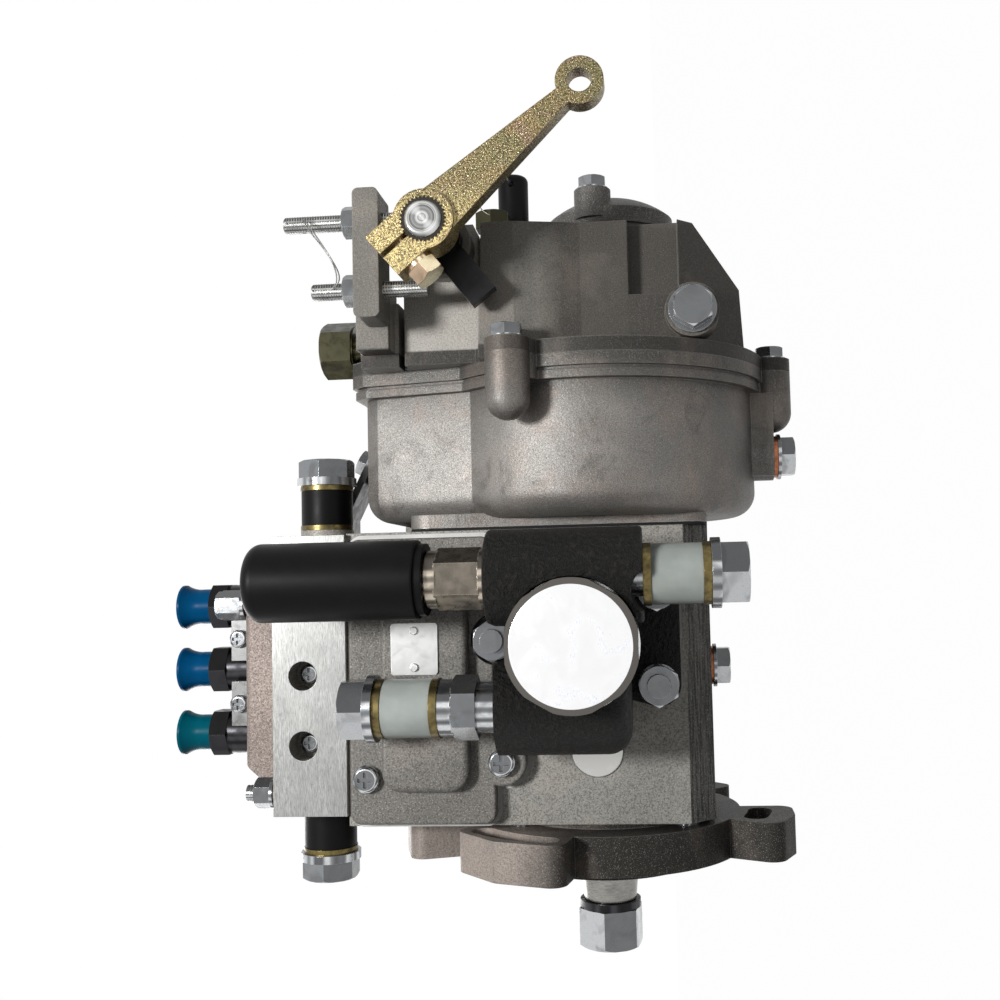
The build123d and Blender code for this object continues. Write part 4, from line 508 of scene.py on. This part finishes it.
def cover_tint(f, color):
    """Paler end block towards +Z, painted light on the side toward the key lamp; a greyer stop ear, and a
    dark rim under the dome.
    """
    # Painted light: the end block towards +Z is made paler
    block = f.mix(f.past("z", block_z, block_z + 1.0), color, (0.56, 0.537, 0.492))
    ear = f.mix(f.past("y", ear_y, ear_y - 2.0), block, (0.25, 0.238, 0.215))
    return f.mix(f.past("x", rim_x, rim_x - 0.6), ear, (0.065, 0.061, 0.055))


def bowl_tint(f, color):
    """The casting darkens towards the rim, and towards -Z as painted shade on the side away from the key
    lamp, with rusty and sooty stains.
    """
    skin = f.mix(f.past("x", *bowl_rim_x, 0.85), color, (0.05, 0.047, 0.042))
    # Painted shade: darker towards -Z, the side away from the key lamp
    skin = f.mix(f.past("z", *bowl_shaded_side_z, 0.75), skin, (0.075, 0.07, 0.062))
    rust = f.span(f.noise(26, 3, 0.6, warp=0.6), 0.50, 0.62, 0, 0.35)
    skin = f.mix(rust, skin, (0.28, 0.21, 0.175))
    soot = f.span(f.noise(17, 4, 0.65, warp=1.0), 0.55, 0.68, 0, 0.5)
    return f.mix(soot, skin, (0.07, 0.065, 0.058))


def flange_tint(f, color):
    """Lighter, pinkish lobes towards +Z as painted light on the side toward the key lamp, and dark towards
    the other side as painted shade.
    """
    # Painted light and shade: lighter towards +Z, dark towards -Z
    return f.mix(f.past("z", *flange_lit_side_z), color, (0.42, 0.36, 0.32))


def milled_flange(f):
    """The mounting face."""
    front = f.both(f.span(f.facing["x"], -0.9, -0.97), f.past("x", flange_front_x, flange_front_x - 0.2))
    return front, f.noise(1.4, 3, 0.6, stretch=(1, 9, 1))


def milled_bowl(f):
    """The bright turned strip of the bowl's foot."""
    foot = f.past("x", bowl_foot_x, bowl_foot_x - 0.4)
    return foot, f.noise(1.4, 3, 0.6, stretch=(14, 1, 1))


def milled_cover(f):
    """The face that meets the gasket."""
    joint = f.both(f.past("x", cover_face_x, cover_face_x - 0.2), f.span(f.facing["x"], -0.9, -0.97))
    return joint, f.noise(1.4, 3, 0.6, stretch=(1, 9, 1))


def pressed_plug(f):
    """The bare disc pressed into the body's near face."""
    return f.both(f.both(f.within("x", *plug_x), f.within("z", *plug_z)), f.within("y", *plug_y))


def dress(material, *names):
    """Gives CAD nodes their material."""
    for name in names:
        for slot in nodes[name].material_slots:
            slot.material = material


dress(casting("cast_housing", (0.40, 0.388, 0.355), grain=0.6, machined=milled_housing, tinted=housing_tint,
              dark=0.6), "pump_housing")
dress(casting("cast_flange", (0.040, 0.037, 0.033), grain=0.6, depth=0.2, machined=milled_flange,
              tinted=flange_tint, speck=0.25, sheen=0.08), "mounting_flange")
dress(casting("cast_bowl", (0.29, 0.276, 0.258), grain=0.35, depth=0.10, machined=milled_bowl,
              tinted=bowl_tint, speck=0.35, dark=0.5, sheen=0.35, metal=0.45), "governor_bowl")
dress(casting("cast_cover", (0.105, 0.097, 0.086), grain=0.5, machined=milled_cover, tinted=cover_tint,
              speck=0.15), "governor_cover")
dress(casting("cast_lid", (0.15, 0.143, 0.135), grain=0.5), "governor_lid")
dress(casting("cast_side_cover", (0.25, 0.238, 0.218), grain=0.7, dark=0.6, speck=0.35), "side_cover")

zinc, blue_tint = (0.30, 0.305, 0.31), (0.7, 0.85, 1.0)
dress(plated("zinc_plate", zinc, 0.2, tint=blue_tint), "cross_head_screws", "hex_bolts", "hex_nuts",
      "studs", "banjo_bolts", "outlet_adapter", "drive_nut")
dress(plated("plug_zinc", zinc, 0.2, tint=blue_tint, pale=pressed_plug), "hex_plugs")
dress(plated("dull_zinc", (0.24, 0.24, 0.235), 0.3, 0.2, (0.85, 0.92, 1.0)), "stop_screws", "strap_bracket",
      "holder_clamps")
dress(plated("nickel_plate", (0.25, 0.22, 0.18), 0.26, 0.2, (1.0, 0.9, 0.8), 0.8), "primer_barrel")
dress(plated("blank_plate", (0.80, 0.80, 0.78), 0.4, 0.1), "name_plate")
steel = turned_steel("ground_steel", (0.30, 0.29, 0.27))
dress(steel, "camshaft", "camshaft_bearings", "flyweight_carrier", "flyweight_1", "flyweight_2",
      "governor_sleeve", "governor_lever", "governor_pin", "control_rack")
dress(turned_steel("ground_steel_y", (0.36, 0.355, 0.34), "y"), "feed_piston")
dress(turned_steel("ground_steel_z", (0.36, 0.355, 0.34), "z"), "pumping_barrels", "plunger_1", "plunger_2",
      "plunger_3", "plunger_spring_1", "plunger_spring_2", "plunger_spring_3", "control_sleeve_1",
      "control_sleeve_2", "control_sleeve_3", "primer_rod")
dress(plated("black_oxide", (0.020, 0.020, 0.022), 0.34, 0.3, (1.0, 1.0, 1.1), 0.3),
      "delivery_valve_holders", "stop_arm", "spring_washer")
dress(plated("olive_brass", (0.052, 0.047, 0.022), 0.28, 0.35, (0.8, 0.95, 0.75), 0.5), "brass_fittings")
dress(plated("copper_zinc", (0.68, 0.50, 0.34), 0.28, 0.3, (1.0, 0.85, 0.8), 0.4), "clamp_bolt")
throttle_x, throttle_z = 220.5, 51.0
dress(shaft_end(throttle_x, throttle_z), "throttle_shaft")
dress(black_casting(), "feed_pump_body")
dress(yellow_zinc(), "throttle_lever")
dress(moulded("black_plastic", (0.004, 0.004, 0.0041), 0.42, dust=0.02).material, "primer_knob",
      "full_load_cap", "black_sleeves")
dress(moulded("seal_rubber", (0.02, 0.02, 0.02), 0.6).material, "shaft_seal", "governor_gasket")
dress(moulded("gasket_paper", (0.74, 0.74, 0.72), 0.8, 0.6, 0.05, 0.2).material, "paper_gaskets")


def washer_metal():
    """Dark brass rings at the banjo bolts, red copper under the two drain plugs."""
    f = Finish("washer_metal", (0.14, 0.11, 0.05), 0.9, 0.3)
    cloud = f.noise(2.5, 3, 0.6)
    brass = f.mix(f.span(cloud, 0.35, 0.7), (0.20, 0.155, 0.06), (0.07, 0.055, 0.025))
    copper = f.mix(f.span(cloud, 0.35, 0.7), (0.42, 0.15, 0.07), (0.20, 0.07, 0.04))
    drains = f.both(f.past("z", drain_z, drain_z - 1.0), f.past("y", drain_y, drain_y + 2.0))
    f.set("Base Color", f.mix(drains, brass, copper))
    f.set("Roughness", f.span(cloud, 0.3, 0.7, 0.24, 0.42))
    f.set("Normal", f.bump(cloud, 0.01, f.round_edges(0.25)))
    return f.material


dress(washer_metal(), "sealing_washers")


def bright_disc():
    """The big plug's polished face with light blue scuffs, and its dark chamfer."""
    f = Finish("bright_plate", (0.90, 0.90, 0.91), 0.85, 0.2)
    scratch = f.noise(1.2, 4, 0.75, stretch=(1, 1, 7), turn=(0, 0.6, 0))
    smear = f.noise(9, 3, 0.6, warp=1.2)
    scuffs = f.both(f.span(scratch, 0.56, 0.62), f.span(smear, 0.56, 0.60))
    skin = f.mix(scuffs, (0.95, 0.95, 0.955), (0.45, 0.56, 0.80))
    sides = f.span(f.facing["y"], -0.97, -0.90)
    skin = f.mix(sides, skin, (0.13, 0.12, 0.11))
    f.set("Base Color", skin)
    f.set("Roughness", f.span(smear, 0.3, 0.7, 0.16, 0.3))
    f.set("Normal", f.bump(scratch, 0.01, f.round_edges(0.5)))
    return f.material


dress(bright_disc(), "feed_pump_plug")


def nylon():
    """Milky plastic that lets some light in."""
    f = moulded("white_nylon", (0.44, 0.475, 0.445), 0.32, 0.3, 0.01, 0.0)
    f.set("Subsurface Weight", 0.4)
    f.set("Subsurface Radius", (0.004, 0.005, 0.005))
    f.set("Subsurface Scale", 1.0)
    f.set("Coat Weight", 0.2)
    return f.material


dress(nylon(), "white_sleeves")


def cap_plastic(name, color):
    """Soft coloured plastic of the outlet caps."""
    f = moulded(name, color, 0.30, 0.3, 0.01, 0.0)
    f.set("Subsurface Weight", 0.15)
    f.set("Subsurface Radius", (0.001, 0.002, 0.004))
    f.set("Specular IOR Level", 0.05)
    return f.material


dress(cap_plastic("teal_plastic", (0.0, 0.105, 0.15)), "outlet_cap_1")
dress(cap_plastic("blue_plastic", (0.0, 0.075, 0.20)), "outlet_cap_2", "outlet_cap_3")


# Small pieces: threads, serrations, seal wires

def add_piece(name, mesh, material, body):
    """A dressed piece that rides on a body."""
    piece = bpy.data.objects.new(name, mesh)
    bpy.context.scene.collection.objects.link(piece)
    mesh.materials.append(material)
    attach(piece, body)
    return piece


def frame_on(start, along):
    """Matrix that carries local Z onto a direction, at a point in millimetres."""
    turn = Vector((0, 0, 1)).rotation_difference(Vector(along)).to_matrix().to_4x4()
    return Matrix.Translation(Vector(start) * MM) @ turn


def ring_point(place, radius, angle, z):
    """A point round an axis, given in millimetres and carried to its place in metres."""
    return place @ (Vector((radius * math.cos(angle), radius * math.sin(angle), z)) * MM)


def thread(name, start, radius, length, pitch, depth, body, material):
    """V-shaped ridge wound along +Z round a screw, closed at both ends."""
    steps = 20
    root, half_width = -0.25, 0.42
    count = int(length / pitch * steps)
    place = frame_on(start, (0, 0, 1))
    build = bmesh.new()
    rows = []
    for i in range(count + 1):
        angle = math.tau * i / steps
        fade = min(1.0, i / steps, (count - i) / steps)
        z = length * i / count
        row = []
        for rise, shift in ((root, -half_width), (depth * fade, 0.0), (root, half_width)):
            row.append(build.verts.new(ring_point(place, radius + rise, angle, z + shift * pitch)))
        rows.append(row)
    for first, second in zip(rows, rows[1:]):
        for k in range(3):
            n = (k + 1) % 3
            build.faces.new((first[k], first[n], second[n], second[k]))
    build.faces.new(reversed(rows[0]))
    build.faces.new(rows[-1])
    bmesh.ops.recalc_face_normals(build, faces=build.faces)
    mesh = bpy.data.meshes.new(name)
    build.to_mesh(mesh)
    build.free()
    return add_piece(name, mesh, material, body)


def toothed_ring(name, centre, along, inner, root, tip, teeth, height, body, material):
    """Flat ring whose outer edge is cut into sharp teeth."""
    place = frame_on(centre, along)
    build = bmesh.new()
    loops = []
    for z in (0.0, height):
        outer = []
        hole = []
        for i in range(teeth * 2):
            angle = math.pi * i / teeth
            r = tip if i % 2 else root
            outer.append(build.verts.new(ring_point(place, r, angle, z)))
            hole.append(build.verts.new(ring_point(place, inner, angle, z)))
        loops.append((outer, hole))
    for i in range(teeth * 2):
        n = (i + 1) % (teeth * 2)
        (o0, h0), (o1, h1) = loops
        build.faces.new((o1[i], o1[n], h1[n], h1[i]))
        build.faces.new((o0[n], o0[i], h0[i], h0[n]))
        build.faces.new((o0[i], o0[n], o1[n], o1[i]))
        build.faces.new((h0[n], h0[i], h1[i], h1[n]))
    bmesh.ops.recalc_face_normals(build, faces=build.faces)
    mesh = bpy.data.meshes.new(name)
    build.to_mesh(mesh)
    build.free()
    return add_piece(name, mesh, material, body)


def wire(name, points, radius, body, material):
    """Thin bent wire along a smooth curve through points in millimetres."""
    data = bpy.data.curves.new(name, "CURVE")
    data.dimensions = "3D"
    data.bevel_depth = radius * MM
    data.bevel_resolution = 2
    data.use_fill_caps = True
    line = data.splines.new("NURBS")
    line.points.add(len(points) - 1)
    for point, at in zip(line.points, points):
        point.co = (*(Vector(at) * MM), 1)
    line.order_u = 3
    line.use_endpoint_u = True
    data.materials.append(material)
    piece = bpy.data.objects.new(name, data)
    bpy.context.scene.collection.objects.link(piece)
    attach(piece, body)
    return piece


screw_steel = plated("screw_steel", (0.34, 0.335, 0.32), 0.3, 0.2)
wire_steel = plated("wire_steel", (0.20, 0.20, 0.19), 0.3, 0.2)
tooth_steel = plated("tooth_steel", (0.05, 0.045, 0.035), 0.4, 0.2)

thread_pitch = 0.9
stop_y = -66.0
stop_screws = {"upper": (227.5, 62.4, 103.4), "lower": (203.5, 54.2, 93.8)}
for name, (x, z0, z1) in stop_screws.items():
    thread(name + "_stop_thread", (x, stop_y, z0), radius=2.8, length=z1 - z0, pitch=thread_pitch,
           depth=0.15, body="pump", material=screw_steel)
thread("shoulder_stud_thread", (25.3, -25, 130.5), radius=3.0, length=2.9, pitch=thread_pitch, depth=0.12,
       body="pump", material=screw_steel)
toothed_ring("shaft_serration", (throttle_x, -88.0, throttle_z), (0, -1, 0), inner=6.3, root=6.9, tip=7.8,
             teeth=34, height=0.25, body="throttle", material=tooth_steel)

# Seal wires, two strands each, with points chosen along their way
wire_radius = 0.24
for i, lean in enumerate((0.0, 1.3)):
    wire(f"stop_seal_wire_{i + 1}", [
        (227.5, -66 - lean, 97), (229, -70 - lean, 96.5), (224, -73, 94 - lean), (214, -73 - lean, 86),
        (207, -71, 84 - lean), (203.5, -70, 86), (203.5, -66 - lean, 87.4),
    ], wire_radius, "pump", wire_steel)
    wire(f"cap_seal_wire_{i + 1}", [
        (254, -16, 29.8), (254, -23.5 - lean, 30), (257.5, -25, 33), (256 - lean, -29, 39),
        (249, -33 - lean, 42), (239, -37, 40), (237.5, -36.5, 36),
    ], wire_radius, "pump", wire_steel)

bpy.context.scene.view_settings.view_transform = "Standard"
